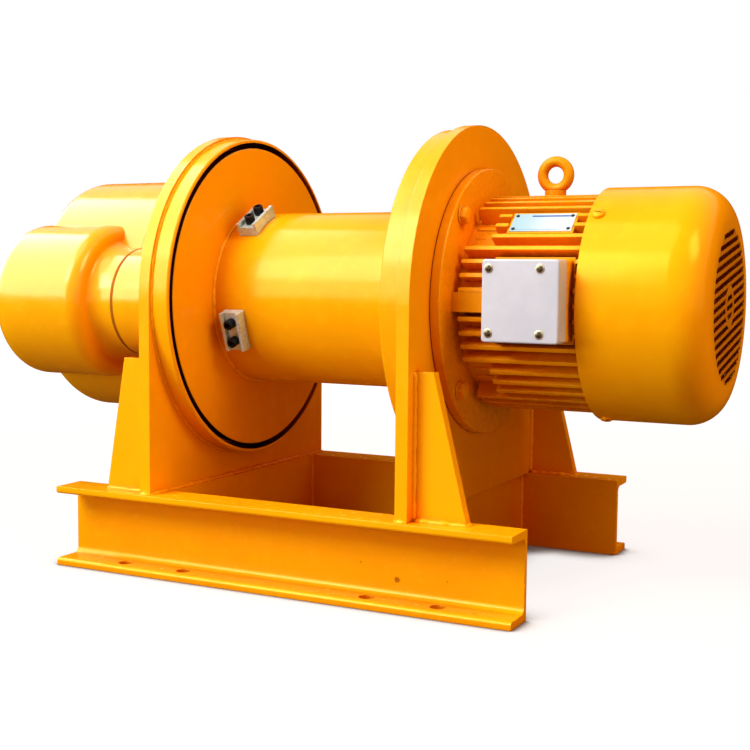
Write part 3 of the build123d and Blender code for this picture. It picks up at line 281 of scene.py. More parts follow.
def paint(name, grain_scale, grain_height, roughness, gloss, wear=0.45, corner_dirt_and_shade_share=0.9, shade=0.75, dulled=0.0,
          shade_and_dust_source=None, marks=()):
    """Glossy yellow enamel: slow tone drift, orange peel, rubbed edges, painted shade in recesses, dirt with
    painted shade in the corners and a few marks. Gloss is the share of coloured sheen and the level of clear
    gloss. The last source gives a mask and its tone: painted shade in the flange gaps, and painted shade
    with dust in the grille."""
    made, tree, shader, coords = new_material(name)
    drift = noise(tree, coords, 5.0, 2.0)
    mottle = noise(tree, coords, 60.0, 5.0, 0.6)
    tone = mix(tree, between(tree, drift, 0.35, 0.65), paint_deep, paint_main)
    tone = mix(tree, between(tree, mottle, 0.45, 0.80, 0.0, 0.5), tone, paint_light)
    if dulled > 0:
        tone = mix(tree, between(tree, mottle, 0.25, 0.75, 0.7 * dulled, dulled), tone, paint_dull)
    normal = rounded_normal(tree, edge_round)
    rubbed = product(tree, edge_mask(tree, normal), between(tree, mottle, 0.35, 0.60, 0.0, wear))
    tone = mix(tree, rubbed, tone, paint_edge)
    # Painted shade: recesses darken towards the deep red tone
    recess = crevice_mask(tree, painted_shade_reach, 0.70, 0.22)
    tone = mix(tree, product(tree, recess, shade), tone, painted_recess_shade)
    # Dirt with painted shade: corners darken towards the dark red-brown
    corner = crevice_mask(tree, corner_reach, 0.60, 0.15)
    tone = mix(tree, product(tree, corner, corner_dirt_and_shade_share), tone, corner_dirt_and_shade)
    # Painted shade from the given source, with dust in the grille
    if shade_and_dust_source is not None:
        dirt_and_painted_shade, shade_and_dust_tone = shade_and_dust_source(tree, coords)
        tone = mix(tree, dirt_and_painted_shade, tone, shade_and_dust_tone)
    tone = stained(tree, coords, tone, marks)
    tree.links.new(tone, shader.inputs["Base Color"])
    sheen = noise(tree, coords, 110.0, 3.0)
    tree.links.new(between(tree, sheen, 0.3, 0.7, *roughness), shader.inputs["Roughness"])
    peel = noise(tree, coords, 420.0, 1.0)
    grain = noise(tree, coords, grain_scale, 3.0)
    surface = bump(tree, grain, grain_height, normal)
    tree.links.new(bump(tree, peel, peel_height, surface), shader.inputs["Normal"])
    metallic, specular = gloss
    shader.inputs["Metallic"].default_value = metallic
    shader.inputs["Specular IOR Level"].default_value = specular
    shader.inputs["Specular Tint"].default_value = gloss_tint
    return made


# Metals
def metal(name, dark, light, streaks, roughness, grain_height):
    """Worked metal: streaks along the working direction, tone drift and a fine grain."""
    made, tree, shader, coords = new_material(name)
    lines = noise(tree, stretched(tree, coords, streaks), 1.0, 5.0, 0.7)
    cloud = noise(tree, coords, 30.0, 3.0)
    tone = mix(tree, lines, dark, light)
    tone = mix(tree, between(tree, cloud, 0.35, 0.75, 0.0, 0.45), tone, dark)
    # Dirt with painted shade: corners darken
    corner = crevice_mask(tree, 5 * mm, 0.85, 0.25)
    tone = mix(tree, product(tree, corner, 0.8), tone, steel_corner_dirt_and_shade)
    tree.links.new(tone, shader.inputs["Base Color"])
    tree.links.new(between(tree, lines, 0.25, 0.75, *roughness), shader.inputs["Roughness"])
    tree.links.new(bump(tree, lines, grain_height, rounded_normal(tree, 0.4 * mm)), shader.inputs["Normal"])
    shader.inputs["Metallic"].default_value = 1.0
    return made


def cast_metal(name):
    """Bare grey iron: sand-cast pits and rusty clouds."""
    made, tree, shader, coords = new_material(name)
    pits = noise(tree, coords, 420.0, 5.0, 0.7)
    cloud = noise(tree, coords, 25.0, 4.0)
    tone = mix(tree, pits, iron_dark, iron_light)
    tone = mix(tree, between(tree, cloud, 0.55, 0.80, 0.0, 0.5), tone, iron_rust)
    tree.links.new(tone, shader.inputs["Base Color"])
    tree.links.new(between(tree, pits, 0.3, 0.7, 0.50, 0.75), shader.inputs["Roughness"])
    tree.links.new(bump(tree, pits, 0.25 * mm), shader.inputs["Normal"])
    shader.inputs["Metallic"].default_value = 0.6
    return made


def zinc_metal(name, dark, light, bloom_tone, metallic):
    """Plated steel: spangles of slightly different grey with a dull bloom."""
    made, tree, shader, coords = new_material(name)
    cells = node(tree, "TexVoronoi", {"Vector": coords, "Scale": 420.0}).outputs["Color"]
    spangle = node(tree, "RGBToBW", {0: cells}).outputs[0]
    bloom = noise(tree, coords, 90.0, 4.0)
    tone = mix(tree, spangle, dark, light)
    tone = mix(tree, between(tree, bloom, 0.45, 0.75, 0.0, 0.6), tone, bloom_tone)
    # Dirt with painted shade: corners darken
    corner = crevice_mask(tree, 4 * mm, 0.70, 0.20)
    tone = mix(tree, product(tree, corner, 0.8), tone, zinc_corner_dirt_and_shade)
    tree.links.new(tone, shader.inputs["Base Color"])
    tree.links.new(between(tree, spangle, 0.2, 0.8, 0.30, 0.48), shader.inputs["Roughness"])
    normal = rounded_normal(tree, 0.5 * mm)
    tree.links.new(bump(tree, bloom, 0.04 * mm, normal), shader.inputs["Normal"])
    shader.inputs["Metallic"].default_value = metallic
    return made


def banded_metal(name, dark, light, axis, pitch, roughness):
    """Stacked sheets or wound wire: fine bands across one axis with uneven tone."""
    made, tree, shader, coords = new_material(name)
    along = node(tree, "SeparateXYZ", {0: coords}).outputs[axis]
    wave = calc(tree, "SINE", product(tree, along, tau / pitch))
    band = between(tree, wave, -0.9, 0.6)
    cloud = noise(tree, coords, 45.0, 4.0)
    tone = mix(tree, band, dark, light)
    tone = mix(tree, between(tree, cloud, 0.5, 0.8, 0.0, 0.5), tone, dark)
    tree.links.new(tone, shader.inputs["Base Color"])
    tree.links.new(between(tree, cloud, 0.3, 0.7, *roughness), shader.inputs["Roughness"])
    tree.links.new(bump(tree, band, 0.15 * mm), shader.inputs["Normal"])
    shader.inputs["Metallic"].default_value = 0.9
    return made


# Other surfaces
def moulded(name, dark, light, grain, roughness, height, specular=0.5):
    """Moulded plastic, rubber or powder coat: a fine grain, cloudy tone and rubbed edges."""
    made, tree, shader, coords = new_material(name)
    speck = noise(tree, coords, grain, 3.0, 0.6)
    cloud = noise(tree, coords, 22.0, 4.0)
    tone = mix(tree, between(tree, cloud, 0.35, 0.70), dark, light)
    normal = rounded_normal(tree, 0.8 * mm)
    tone = mix(tree, product(tree, edge_mask(tree, normal), 0.35), tone, light)
    # Dirt with painted shade: corners darken towards a darker tone
    corner = crevice_mask(tree, 5 * mm, 0.70, 0.20)
    dirt_and_painted_shade = tuple(0.35 * value for value in dark[:3]) + (1,)
    tone = mix(tree, product(tree, corner, 0.5), tone, dirt_and_painted_shade)
    tree.links.new(tone, shader.inputs["Base Color"])
    tree.links.new(between(tree, speck, 0.3, 0.7, *roughness), shader.inputs["Roughness"])
    tree.links.new(bump(tree, speck, height, normal), shader.inputs["Normal"])
    shader.inputs["Specular IOR Level"].default_value = specular
    return made


# Nameplate: a flat plate that leans back on its pad
nameplate_out = Vector((0, -math.cos(nameplate_angle), math.sin(nameplate_angle)))
nameplate_up = Vector((0, math.sin(nameplate_angle), math.cos(nameplate_angle)))
nameplate_centre = axis_point + nameplate_out * nameplate_reach
nameplate_centre.x = (nameplate_lo.x + nameplate_hi.x) / 2


def nameplate_finish(name):
    """Pale blue plate that brightens to one end, with a blue head line, a foot line, blank ruled rows
    and a brushed grain."""
    made, tree, shader, coords = new_material(name)
    local = vector_calc(tree, "SUBTRACT", coords, nameplate_centre)
    up = vector_calc(tree, "DOT_PRODUCT", local, nameplate_up, "Value")
    along = node(tree, "SeparateXYZ", {0: local}).outputs[0]
    brushed = noise(tree, stretched(tree, coords, (60, 2600, 2600)), 1.0, 3.0)
    cool = mix(tree, brushed, *nameplate_cool)
    pale = mix(tree, brushed, *nameplate_pale)
    tone = mix(tree, between(tree, along, -24 * mm, 12 * mm), cool, pale)
    # Each line: lowest and highest, first and last end in millimetres, tone and strength
    lines = [(7.6, 9.6, -12, 26, head_line_tone, 1.0), (-10.2, -9.2, -26, 16, foot_line_tone, 0.8)]
    for row in range(4):
        lines.append((4.6 - 3.4 * row, 4.9 - 3.4 * row, -22, 22, ruled_line_tone, 0.5))
    for lowest, highest, first, last, colour, strength in lines:
        inside = product(tree, span(tree, up, lowest, highest), span(tree, along, first, last))
        tone = mix(tree, product(tree, inside, strength), tone, colour)
    tree.links.new(tone, shader.inputs["Base Color"])
    tree.links.new(between(tree, brushed, 0.3, 0.7, 0.34, 0.48), shader.inputs["Roughness"])
    tree.links.new(bump(tree, brushed, 0.015 * mm), shader.inputs["Normal"])
    shader.inputs["Specular IOR Level"].default_value = 0.10
    return made


# Chips and dents on the front rail, and grime round the bolt holes: place, radius and strength
rail_marks = [
    (Vector((123, -144, 22)) * mm, 3.8 * mm, 0.75),
    (Vector((206, -163, 7)) * mm, 2.0 * mm, 0.8),
    (Vector((-30, -170, 80)) * mm, 2.0 * mm, 0.8),
    (Vector((86, -144, 34)) * mm, 1.2 * mm, 0.6),
    (Vector((172, -144, 26)) * mm, 1.2 * mm, 0.6),
]
rail_hole_rows = (-160, 160)
rail_hole_places = (-170, -100, 100, 170)
rail_hole_height = 7
for y in rail_hole_rows:
    for x in rail_hole_places:
        rail_marks.append((Vector((x, y, rail_hole_height)) * mm, 9.0 * mm, 0.7))

sheet_paint = paint("paint_sheet_steel", 30.0, 0.05 * mm, (0.14, 0.24), (0.02, 0.16), shade=0.85,
                    shade_and_dust_source=shroud_gap_shade)
rail_paint = paint("paint_rolled_rail", 26.0, 0.07 * mm, (0.16, 0.28), (0.03, 0.12), marks=rail_marks)
cast_paint = paint("paint_casting", 150.0, 0.05 * mm, (0.13, 0.22), (0.02, 0.32), shade=0.5)
motor_paint = paint("paint_motor_casting", 190.0, 0.07 * mm, (0.22, 0.34), (0.03, 0.10), corner_dirt_and_shade_share=0.55,
                    shade=0.45)
eye_paint = paint("paint_eye_bolt", 190.0, 0.07 * mm, (0.22, 0.34), (0.03, 0.06), dulled=0.55)
drum_paint = paint("paint_turned_drum", 24.0, 0.04 * mm, (0.13, 0.22), (0.02, 0.10), shade_and_dust_source=drum_gap_shade)
cowl_paint = paint("paint_pressed_cowl", 18.0, 0.05 * mm, (0.15, 0.24), (0.05, 0.06), shade_and_dust_source=grille_dust_and_shade)
weld_paint = paint("paint_weld", 300.0, 0.06 * mm, (0.18, 0.30), (0.02, 0.12), wear=0.2, corner_dirt_and_shade_share=0.25,
                   shade=0.6)

zinc_bright = zinc_metal("zinc_bright", (0.47, 0.63, 0.63, 1), (0.69, 0.87, 0.85, 1),
                         (0.56, 0.62, 0.50, 1), 0.40)
zinc_yellow = zinc_metal("zinc_yellow", (0.36, 0.29, 0.16, 1), (0.58, 0.49, 0.30, 1),
                         (0.36, 0.26, 0.11, 1), 0.5)
slot_finish = {
    "yellow_paint": sheet_paint,
    "machined_steel": metal("machined_steel", (0.32, 0.32, 0.32, 1), (0.56, 0.55, 0.54, 1), (900, 60, 60),
                            (0.22, 0.42), 0.010 * mm),
    "bearing_steel": metal("bearing_steel", (0.50, 0.50, 0.51, 1), (0.74, 0.74, 0.76, 1), (300, 40, 40),
                           (0.10, 0.24), 0.005 * mm),
    "cast_iron": cast_metal("cast_iron"),
    "zinc_steel": zinc_bright,
    "black_steel": metal("black_steel", (0.010, 0.010, 0.011, 1), (0.040, 0.040, 0.044, 1), (260, 260, 260),
                         (0.34, 0.55), 0.015 * mm),
    "lamination_steel": banded_metal("lamination_steel", (0.10, 0.10, 0.11, 1), (0.34, 0.34, 0.35, 1), 0,
                                     1.0 * mm, (0.35, 0.55)),
    "copper_wire": banded_metal("copper_wire", (0.32, 0.10, 0.03, 1), (0.80, 0.34, 0.14, 1), 2, 1.6 * mm,
                                (0.22, 0.40)),
    "grey_paint": moulded("grey_paint", (0.47, 0.525, 0.60, 1), (0.54, 0.595, 0.67, 1), 500.0, (0.30, 0.45),
                          0.02 * mm),
    "plate_aluminium": nameplate_finish("plate_aluminium"),
    "black_plastic": moulded("black_plastic", (0.010, 0.010, 0.011, 1), (0.035, 0.035, 0.037, 1), 700.0,
                             (0.42, 0.60), 0.03 * mm),
    "seal_rubber": moulded("seal_rubber", (0.012, 0.012, 0.012, 1), (0.030, 0.029, 0.028, 1), 900.0,
                           (0.62, 0.80), 0.04 * mm),
}
dull_steel = metal("dull_steel", (0.055, 0.047, 0.028, 1), (0.160, 0.140, 0.085, 1), (400, 400, 400),
                   (0.38, 0.58), 0.015 * mm)
sealant = moulded("sealant", (0.300, 0.085, 0.0030, 1), (0.400, 0.130, 0.0050, 1), 700.0, (0.55, 0.75),
                  0.04 * mm, specular=0.05)
node_finish = {
    "front_rail": rail_paint,
    "rear_rail": rail_paint,
    "gear_case": cast_paint,
    "gear_case_base": cast_paint,
    "gear_case_cover": cast_paint,
    "motor_frame": motor_paint,
    "motor_flange": motor_paint,
    "motor_rear_bracket": motor_paint,
    "terminal_box": motor_paint,
    "eye_bolt": eye_paint,
    "drum_barrel": drum_paint,
    "left_drum_flange": drum_paint,
    "right_drum_flange": drum_paint,
    "fan_cowl": cowl_paint,
}

for subpart in frame["record"]["subparts"]:
    mesh = frame["nodes"][subpart["node"]].data
    mesh.materials.clear()
    mesh.materials.append(node_finish.get(subpart["node"], slot_finish[subpart["material_slot"]]))


# Mesh helpers
def finished_mesh(name, made):
    """The edited geometry as a mesh with its faces turned outwards."""
    bmesh.ops.recalc_face_normals(made, faces=made.faces)
    mesh = bpy.data.meshes.new(name)
    made.to_mesh(mesh)
    made.free()
    return mesh


def rings_mesh(name, rings, loop):
    """A closed skin through rings of equal count: a loop of rings, or a tube with both ends capped."""
    made = bmesh.new()
    rows = [[made.verts.new(point) for point in ring] for ring in rings]
    count = len(rows[0])
    pairs = list(zip(rows, rows[1:]))
    if loop:
        pairs.append((rows[-1], rows[0]))
    for first, second in pairs:
        for step in range(count):
            after = (step + 1) % count
            made.faces.new((first[step], first[after], second[after], second[step]))
    if not loop:
        made.faces.new(reversed(rows[0]))
        made.faces.new(rows[-1])
    return finished_mesh(name, made)


def turned_mesh(name, profile, segments=48):
    """A body turned about local Z through (radius, height) points in millimetres. A third item in a
    point is an outline, the reach at any angle, that the point's circle is kept inside."""
    made = bmesh.new()
    rows = []
    for radius, height, *outline in profile:
        if radius == 0:
            rows.append([made.verts.new((0, 0, height * mm))])
            continue
        row = []
        for step in range(segments):
            angle = tau * step / segments
            reach = min(radius, outline[0](angle)) if outline else radius
            x = reach * math.cos(angle) * mm
            y = reach * math.sin(angle) * mm
            row.append(made.verts.new((x, y, height * mm)))
        rows.append(row)
    for first, second in zip(rows, rows[1:]):
        for step in range(segments):
            after = (step + 1) % segments
            corners = [first[step % len(first)], first[after % len(first)],
                       second[after % len(second)], second[step % len(second)]]
            made.faces.new(list(dict.fromkeys(corners)))
    return finished_mesh(name, made)


def hexagon(flats):
    """The reach of a hexagon across its flats at any angle."""
    def reach(angle):
        turn = (angle + tau / 12) % (tau / 6) - tau / 12
        return flats / 2 / math.cos(turn)
    return reach


def knurl(radius, depth, teeth):
    """The reach of a round with fine upright ribs at any angle."""
    def reach(angle):
        return radius - depth * (0.5 + 0.5 * math.cos(teeth * angle))
    return reach


def placed(name, data):
    """A new object in the scene."""
    made = bpy.data.objects.new(name, data)
    bpy.context.scene.collection.objects.link(made)
    return made


def carved(mesh, cutter):
    """The mesh with the cutter's space taken out."""
    body = placed("carved_body", mesh)
    tool = placed("carving_tool", cutter)
    change = body.modifiers.new("carve", "BOOLEAN")
    change.operation = "DIFFERENCE"
    change.solver = "EXACT"
    change.object = tool
    bpy.context.view_layer.update()
    graph = bpy.context.evaluated_depsgraph_get()
    result = bpy.data.meshes.new_from_object(body.evaluated_get(graph))
    for item in (body, tool):
        bpy.data.objects.remove(item)
    return result


def block_mesh(name, size):
    made = bmesh.new()
    bmesh.ops.create_cube(made, size=1.0, matrix=Matrix.Diagonal((*size, 1)))
    return finished_mesh(name, made)


def pose_of(place, outward, along):
    """The matrix that puts local Z on outward and local X near along, at a place."""
    z = Vector(outward).normalized()
    y = z.cross(Vector(along)).normalized()
    x = y.cross(z)
    matrix = Matrix((x, y, z)).transposed().to_4x4()
    matrix.translation = place
    return matrix


def joined_mesh(name, meshes, poses=(Matrix.Identity(4),)):
    """Copies of some meshes at several poses, as one mesh."""
    made = bmesh.new()
    for pose in poses:
        for mesh in meshes:
            copy = mesh.copy()
            copy.transform(pose)
            made.from_mesh(copy)
            bpy.data.meshes.remove(copy)
    result = bpy.data.meshes.new(name)
    made.to_mesh(result)
    made.free()
    return result


def piece(name, mesh, finish, slot, body, *nodes, smooth=40):
    """A finished piece on its body, standing for the nodes it names."""
    mesh.name = name
    mesh.materials.clear()
    mesh.materials.append(finish)
    made = placed(name, mesh)
    mesh.shade_smooth()
    mesh.set_sharp_from_angle(angle=math.radians(smooth))
    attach(made, body)
    if nodes:
        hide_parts(*nodes)


def copies(name, meshes, poses, finish, slot, body, *nodes, smooth=40):
    """Copies of some meshes at several poses, as one piece."""
    piece(name, joined_mesh(name, meshes, poses), finish, slot, body, *nodes, smooth=smooth)


# Welds: a bead's swell, ripple and wander are shares of its radius, and its ends taper
bead_sides = 12
bead_step = 0.8 * mm
bead_reference = Vector((0.31, 0.17, 0.94))
ripple_pitch = 2.7 * mm
ripple_share = 0.045
ripple_drift = 2.5
swell_lengths = (11 * mm, 19 * mm, 31 * mm, 53 * mm)
swell_share = 0.30
wander_share = 0.25
end_share = 0.45
end_taper = 2.2


def line_points(start, end):
    start, end = Vector(start), Vector(end)
    count = max(6, round((end - start).length / bead_step))
    return [start.lerp(end, step / count) for step in range(count + 1)]


def circle_points(x, radius):
    count = round(tau * radius / bead_step)
    turns = (tau * step / count for step in range(count))
    return [axis_point + Vector((x, radius * math.cos(turn), radius * math.sin(turn))) for turn in turns]


def bead_mesh(name, points, radius, seed, loop=False):
    """A run of weld metal: soft ripples on a bead whose width and line wander a little."""
    draw = random.Random(seed)
    phases = [draw.uniform(0, tau) for _ in swell_lengths]
    total = len(points)
    length = total * bead_step
    rings = []
    for index, point in enumerate(points):
        if loop:
            before, after = points[index - 1], points[(index + 1) % total]
        else:
            before, after = points[max(index - 1, 0)], points[min(index + 1, total - 1)]
        heading = (after - before).normalized()
        travelled = index * bead_step
        swell = 0.0
        for wave, phase in zip(swell_lengths, phases):
            turns = max(1, round(length / wave)) / length
            swell += math.sin(tau * travelled * turns + phase) / len(swell_lengths)
        ripple = math.sin(tau * travelled / ripple_pitch + ripple_drift * swell)
        size = radius * (1 + swell_share * swell + ripple_share * ripple)
        if not loop:
            reach = min(index, total - 1 - index) * bead_step
            size *= min(1.0, end_share + reach / (end_taper * radius))
        side = heading.cross(bead_reference).normalized()
        lift = heading.cross(side)
        wander = side * (wander_share * radius * swell)
        ring = []
        for step in range(bead_sides):
            angle = tau * step / bead_sides
            offset = side * math.cos(angle) + lift * math.sin(angle)
            ring.append(point + wander + offset * size)
        rings.append(ring)
    return rings_mesh(name, rings, loop)


def weld(name, runs, radius, body, seed, loop=False):
    """Several runs of weld metal as one piece."""
    beads = [bead_mesh(name, points, radius, seed + number, loop) for number, points in enumerate(runs)]
    piece(name, joined_mesh(name, beads), weld_paint, "yellow_paint", body, smooth=70)


def plate_runs(lo, hi, outward):
    """Runs round the foot of one support plate. Outward is the sign of X away from the drum."""
    inner = hi.x if outward < 0 else lo.x
    outer = lo.x if outward < 0 else hi.x
    runs = [line_points((inner, rail_hi.y, plate_foot), (inner, -rail_hi.y, plate_foot))]
    for front in (-1, 1):
        edge = front * hi.y
        rail_inside = front * abs(rail_hi.y)
        runs.append(line_points((inner, edge, plate_foot), (outer, edge, plate_foot)))
        runs.append(line_points((inner, edge, plate_foot), (inner, rail_inside, plate_foot)))
    return runs


def gusset_runs(lo, hi, plate_face, outward):
    """Runs round the foot of each gusset and up its joint with the plate."""
    far = hi.x if outward > 0 else lo.x
    runs = []
    for front in (-1, 1):
        outer_face = front * hi.y
        inner_face = front * (hi.y - gusset_thickness)
        for face in (outer_face, inner_face):
            runs.append(line_points((plate_face, face, plate_foot), (far, face, plate_foot)))
            runs.append(line_points((plate_face, face, plate_foot), (plate_face, face, hi.z)))
        runs.append(line_points((far, outer_face, plate_foot), (far, inner_face, plate_foot)))
    return runs


def tie_runs():
    """Runs up both ends of each cross tie."""
    runs = []
    for side in (-1, 1):
        for face in (ties_hi.x - tie_thickness, ties_hi.x):
            for end in (ties_lo.y, ties_hi.y):
                runs.append(line_points((side * face, end, ties_lo.z), (side * face, end, ties_hi.z)))
    return runs


weld("plate_foot_welds",
     plate_runs(left_plate_lo, left_plate_hi, -1) + plate_runs(right_plate_lo, right_plate_hi, 1),
     radius=3.0 * mm, body="frame", seed=11)
weld("gusset_welds",
     gusset_runs(left_gusset_lo, left_gusset_hi, left_plate_lo.x, -1)
     + gusset_runs(right_gusset_lo, right_gusset_hi, right_plate_hi.x, 1),
     radius=2.8 * mm, body="frame", seed=61)
weld("tie_end_welds", tie_runs(), radius=2.4 * mm, body="frame", seed=171)
weld("shroud_welds", [circle_points(x, shroud_radius) for x in (left_plate_hi.x, right_plate_lo.x)],
     radius=1.6 * mm, body="frame", seed=121, loop=True)
weld("barrel_root_welds", [circle_points(x, barrel_radius) for x in (barrel_lo.x, barrel_hi.x)],
     radius=2.3 * mm, body="drum", seed=131, loop=True)


# Gear case seam
def radial(angle):
    """Direction square to the drum axis, at an angle from +Y towards +Z."""
    return Vector((0, math.cos(angle), math.sin(angle)))


def seam_outlines():
    """Points and outward directions round the joint face: the case's arc, and the layshaft boss's arc."""
    offset = layshaft_point - axis_point
    toward = math.atan2(offset.z, offset.y)
    apart = math.hypot(offset.y, offset.z)
    case_open = math.acos((apart**2 + case_radius**2 - boss_radius**2) / (2 * apart * case_radius))
    boss_open = math.acos((apart**2 + boss_radius**2 - case_radius**2) / (2 * apart * boss_radius))
    arcs = ((axis_point, case_radius, toward + case_open, tau - 2 * case_open, 240),
            (layshaft_point, boss_radius, toward + math.pi + boss_open, tau - 2 * boss_open, 120))
    outlines = []
    for centre, radius, start, sweep, count in arcs:
        outline = []
        for step in range(count + 1):
            out = radial(start + sweep * step / count)
            outline.append((Vector((seam_x, centre.y, centre.z)) + out * radius, out))
        outlines.append(outline)
    return outlines


def seam_bead(name, outline, half_width, lip):
    """A flat bead of sealant along the joint, rooted in the castings."""
    depth = 3.0 * mm
    section = ((-depth, -half_width), (0.0, -half_width), (lip, -half_width / 2), (lip, half_width / 2),
               (0.0, half_width), (-depth, half_width))
    rings = [[place + out * reach + Vector((x, 0, 0)) for reach, x in section] for place, out in outline]
    return rings_mesh(name, rings, False)


def case_seams():
    """The joint between the two gear case castings: under paint round the case, and bare sealant
    round the boss."""
    case_arc, boss_arc = seam_outlines()
    case_bead = seam_bead("case_seam", case_arc, half_width=0.6 * mm, lip=0.25 * mm)
    boss_bead = seam_bead("boss_seam", boss_arc, half_width=1.8 * mm, lip=0.4 * mm)
    piece("case_seam", case_bead, cast_paint, "yellow_paint", "frame")
    piece("boss_seam", boss_bead, sealant, "seal_rubber", "frame")


# Fasteners
motor_bolt_circle = 114 * mm
motor_bolt_angles = [math.radians(45 + 90 * step) for step in range(4)]
cowl_screw_angles = [math.radians(180 - angle) for angle in (48, 168, 288)]
cowl_screw_setback = 9 * mm
clamp_angles = [math.radians(180 - angle) for angle in (59, -20)]
clamp_screw_spacing = 19 * mm
clamp_height = 7 * mm
terminal_washer_radius = 4.0 * mm
rivet_inset = 3.2 * mm


def spun(draw, least=0.0, most=tau):
    """A turn about local Z, drawn at random."""
    return Matrix.Rotation(draw.uniform(least, most), 4, "Z")


def flange_bolts():
    """Hexagon heads with domed tops over plain washers, thick with paint."""
    six = hexagon(14.6)
    washer = [(0, 0), (9.2, 0), (9.6, 0.4), (9.6, 1.0), (9.1, 1.5), (6.5, 1.55), (0, 1.55)]
    head = [(0, 1.3), (7.8, 1.3, six), (8.5, 1.8, six), (8.5, 5.0, six), (8.2, 5.8, six), (7.5, 6.6, six),
            (6.2, 7.3), (4.2, 7.8), (2.0, 8.0), (0, 8.0)]
    parts = [turned_mesh("washer", washer), turned_mesh("head", head, 72)]
    draw = random.Random(5)
    poses = []
    for angle in motor_bolt_angles:
        place = axis_point + radial(angle) * motor_bolt_circle
        place.x = motor_flange_seat
        poses.append(pose_of(place, (1, 0, 0), radial(angle)) @ spun(draw))
    copies("flange_bolts", parts, poses, motor_paint, "yellow_paint", "frame", "motor_flange_bolts",
           smooth=30)


def slotted_head(name, radius, height, slot_width, slot_depth):
    """A pan head turned from a rounded profile, with one straight slot. Sizes are in millimetres."""
    steps = 6
    crown = []
    for step in range(steps):
        turn = tau / 4 * step / steps
        crown.append((radius * math.cos(turn), height * (0.45 + 0.55 * math.sin(turn))))
    profile = [(0, -0.5), (radius, -0.5)] + crown + [(0, height)]
    cutter = block_mesh("slot_cutter", Vector((3 * radius, slot_width, 2 * slot_depth)) * mm)
    cutter.transform(Matrix.Translation((0, 0, height * mm)))
    return carved(turned_mesh(name, profile, 40), cutter)


def cowl_screws():
    """Painted pan heads round the cowl's open end, each turned its own way."""
    head = slotted_head("cowl_screw", radius=5.5, height=3.5, slot_width=1.3, slot_depth=1.4)
    draw = random.Random(9)
    poses = []
    for angle in cowl_screw_angles:
        place = axis_point + radial(angle) * cowl_radius
        place.x = cowl_lo.x + cowl_screw_setback
        poses.append(pose_of(place, radial(angle), (1, 0, 0)) @ spun(draw))
    copies("cowl_screws", [head], poses, cowl_paint, "yellow_paint", "frame", "fan_cowl_screws", smooth=35)


def terminal_screws():
    """Dull slotted heads on yellow-plated washers at the corners of the terminal cover."""
    lo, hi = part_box("terminal_cover_screws")
    head = slotted_head("terminal_screw", radius=2.9, height=2.5, slot_width=0.9, slot_depth=1.1)
    profile = [(0, -0.3), (3.7, -0.3), (4.0, 0.0), (4.0, 0.5), (3.6, 0.8), (0, 0.8)]
    washer = turned_mesh("terminal_washer", profile)
    draw = random.Random(17)
    poses = []
    for x in (lo.x + terminal_washer_radius, hi.x - terminal_washer_radius):
        for z in (lo.z + terminal_washer_radius, hi.z - terminal_washer_radius):
            pose = pose_of(Vector((x, cover_face, z)), (0, -1, 0), (1, 0, 0))
            poses.append(pose @ spun(draw, 0.3, 1.2))
    copies("terminal_screws", [head], poses, dull_steel, "zinc_steel", "frame", "terminal_cover_screws",
           smooth=35)
    copies("terminal_washers", [washer], poses, zinc_yellow, "zinc_steel", "frame")


def clamp_screws():
    """Black socket-head screws with knurled sides, two on each rope clamp."""
    ribs = knurl(radius=5.0, depth=0.32, teeth=30)
    socket = hexagon(5.0)
    profile = [(0, -0.3), (4.6, -0.3), (5.0, 0.2, ribs), (5.0, 8.0, ribs), (4.6, 8.7), (4.1, 9.0),
               (3.2, 9.0), (3.0, 8.7, socket), (3.0, 4.6, socket), (0, 4.0)]
    head = turned_mesh("clamp_screw", profile, 120)
    lo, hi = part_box("rope_clamps")
    draw = random.Random(23)
    poses = []
    for angle in clamp_angles:
        out = radial(angle)
        along = Vector((1, 0, 0)).cross(out)
        for side in (-0.5, 0.5):
            place = axis_point + out * (barrel_radius + clamp_height) + along * (side * clamp_screw_spacing)
            place.x = (lo.x + hi.x) / 2
            poses.append(pose_of(place, out, (1, 0, 0)) @ spun(draw))
    copies("clamp_screws", [head], poses, slot_finish["black_steel"], "black_steel", "drum",
           "rope_clamp_screws", smooth=35)


def nameplate_rivets():
    """Dark drive rivets at the corners of the nameplate."""
    dome = [(0, -0.6), (1.7, -0.6), (1.7, 0.1), (1.55, 0.55), (1.1, 0.9), (0.55, 1.05), (0, 1.1)]
    rivet = turned_mesh("rivet", dome, 24)
    poses = []
    for x in (rivet_inset - nameplate_length / 2, nameplate_length / 2 - rivet_inset):
        for y in (rivet_inset - nameplate_width / 2, nameplate_width / 2 - rivet_inset):
            place = nameplate_centre + Vector((x, 0, 0)) + nameplate_up * y
            poses.append(pose_of(place, nameplate_out, (1, 0, 0)))
    copies("nameplate_rivets", [rivet], poses, slot_finish["black_steel"], "black_steel", "frame", smooth=50)


case_seams()
flange_bolts()
cowl_screws()
terminal_screws()
clamp_screws()
nameplate_rivets()


# Stage, light and camera
floor_reach = 9.0
floor_near = 0.7
floor_far = 2.4
floor_drop = 0.2 * mm
floor_tone = (0.18, 0.16, 0.14, 1)
floor_glow = 0.85
# Reach of the painted contact shadow on the floor
painted_shadow_reach = 50 * mm
white = (1, 1, 1, 1)
fill_tone = (1.0, 0.24, 0.06, 1)
fill_strength = 0.31
side_tone = (1.0, 0.72, 0.46)
side_low_tone = (1.0, 0.42, 0.12)
# The dark card in section, from its front edge under the winch to its rear edge
flag_section = ((-3.2, 0.30), (-3.0, -0.0001), (1.4, -0.0001), (1.5, 1.2))
flag_reach = 4.0
flag_tone = (0.12, 0.04, 0.008, 1)


def seen_rays(tree):
    """1 for rays that show the background: from the camera, from gloss and through glass."""
    path = node(tree, "LightPath").outputs
    seen = calc(tree, "MAXIMUM", path["Is Camera Ray"], path["Is Glossy Ray"])
    return calc(tree, "MAXIMUM", seen, path["Is Transmission Ray"])


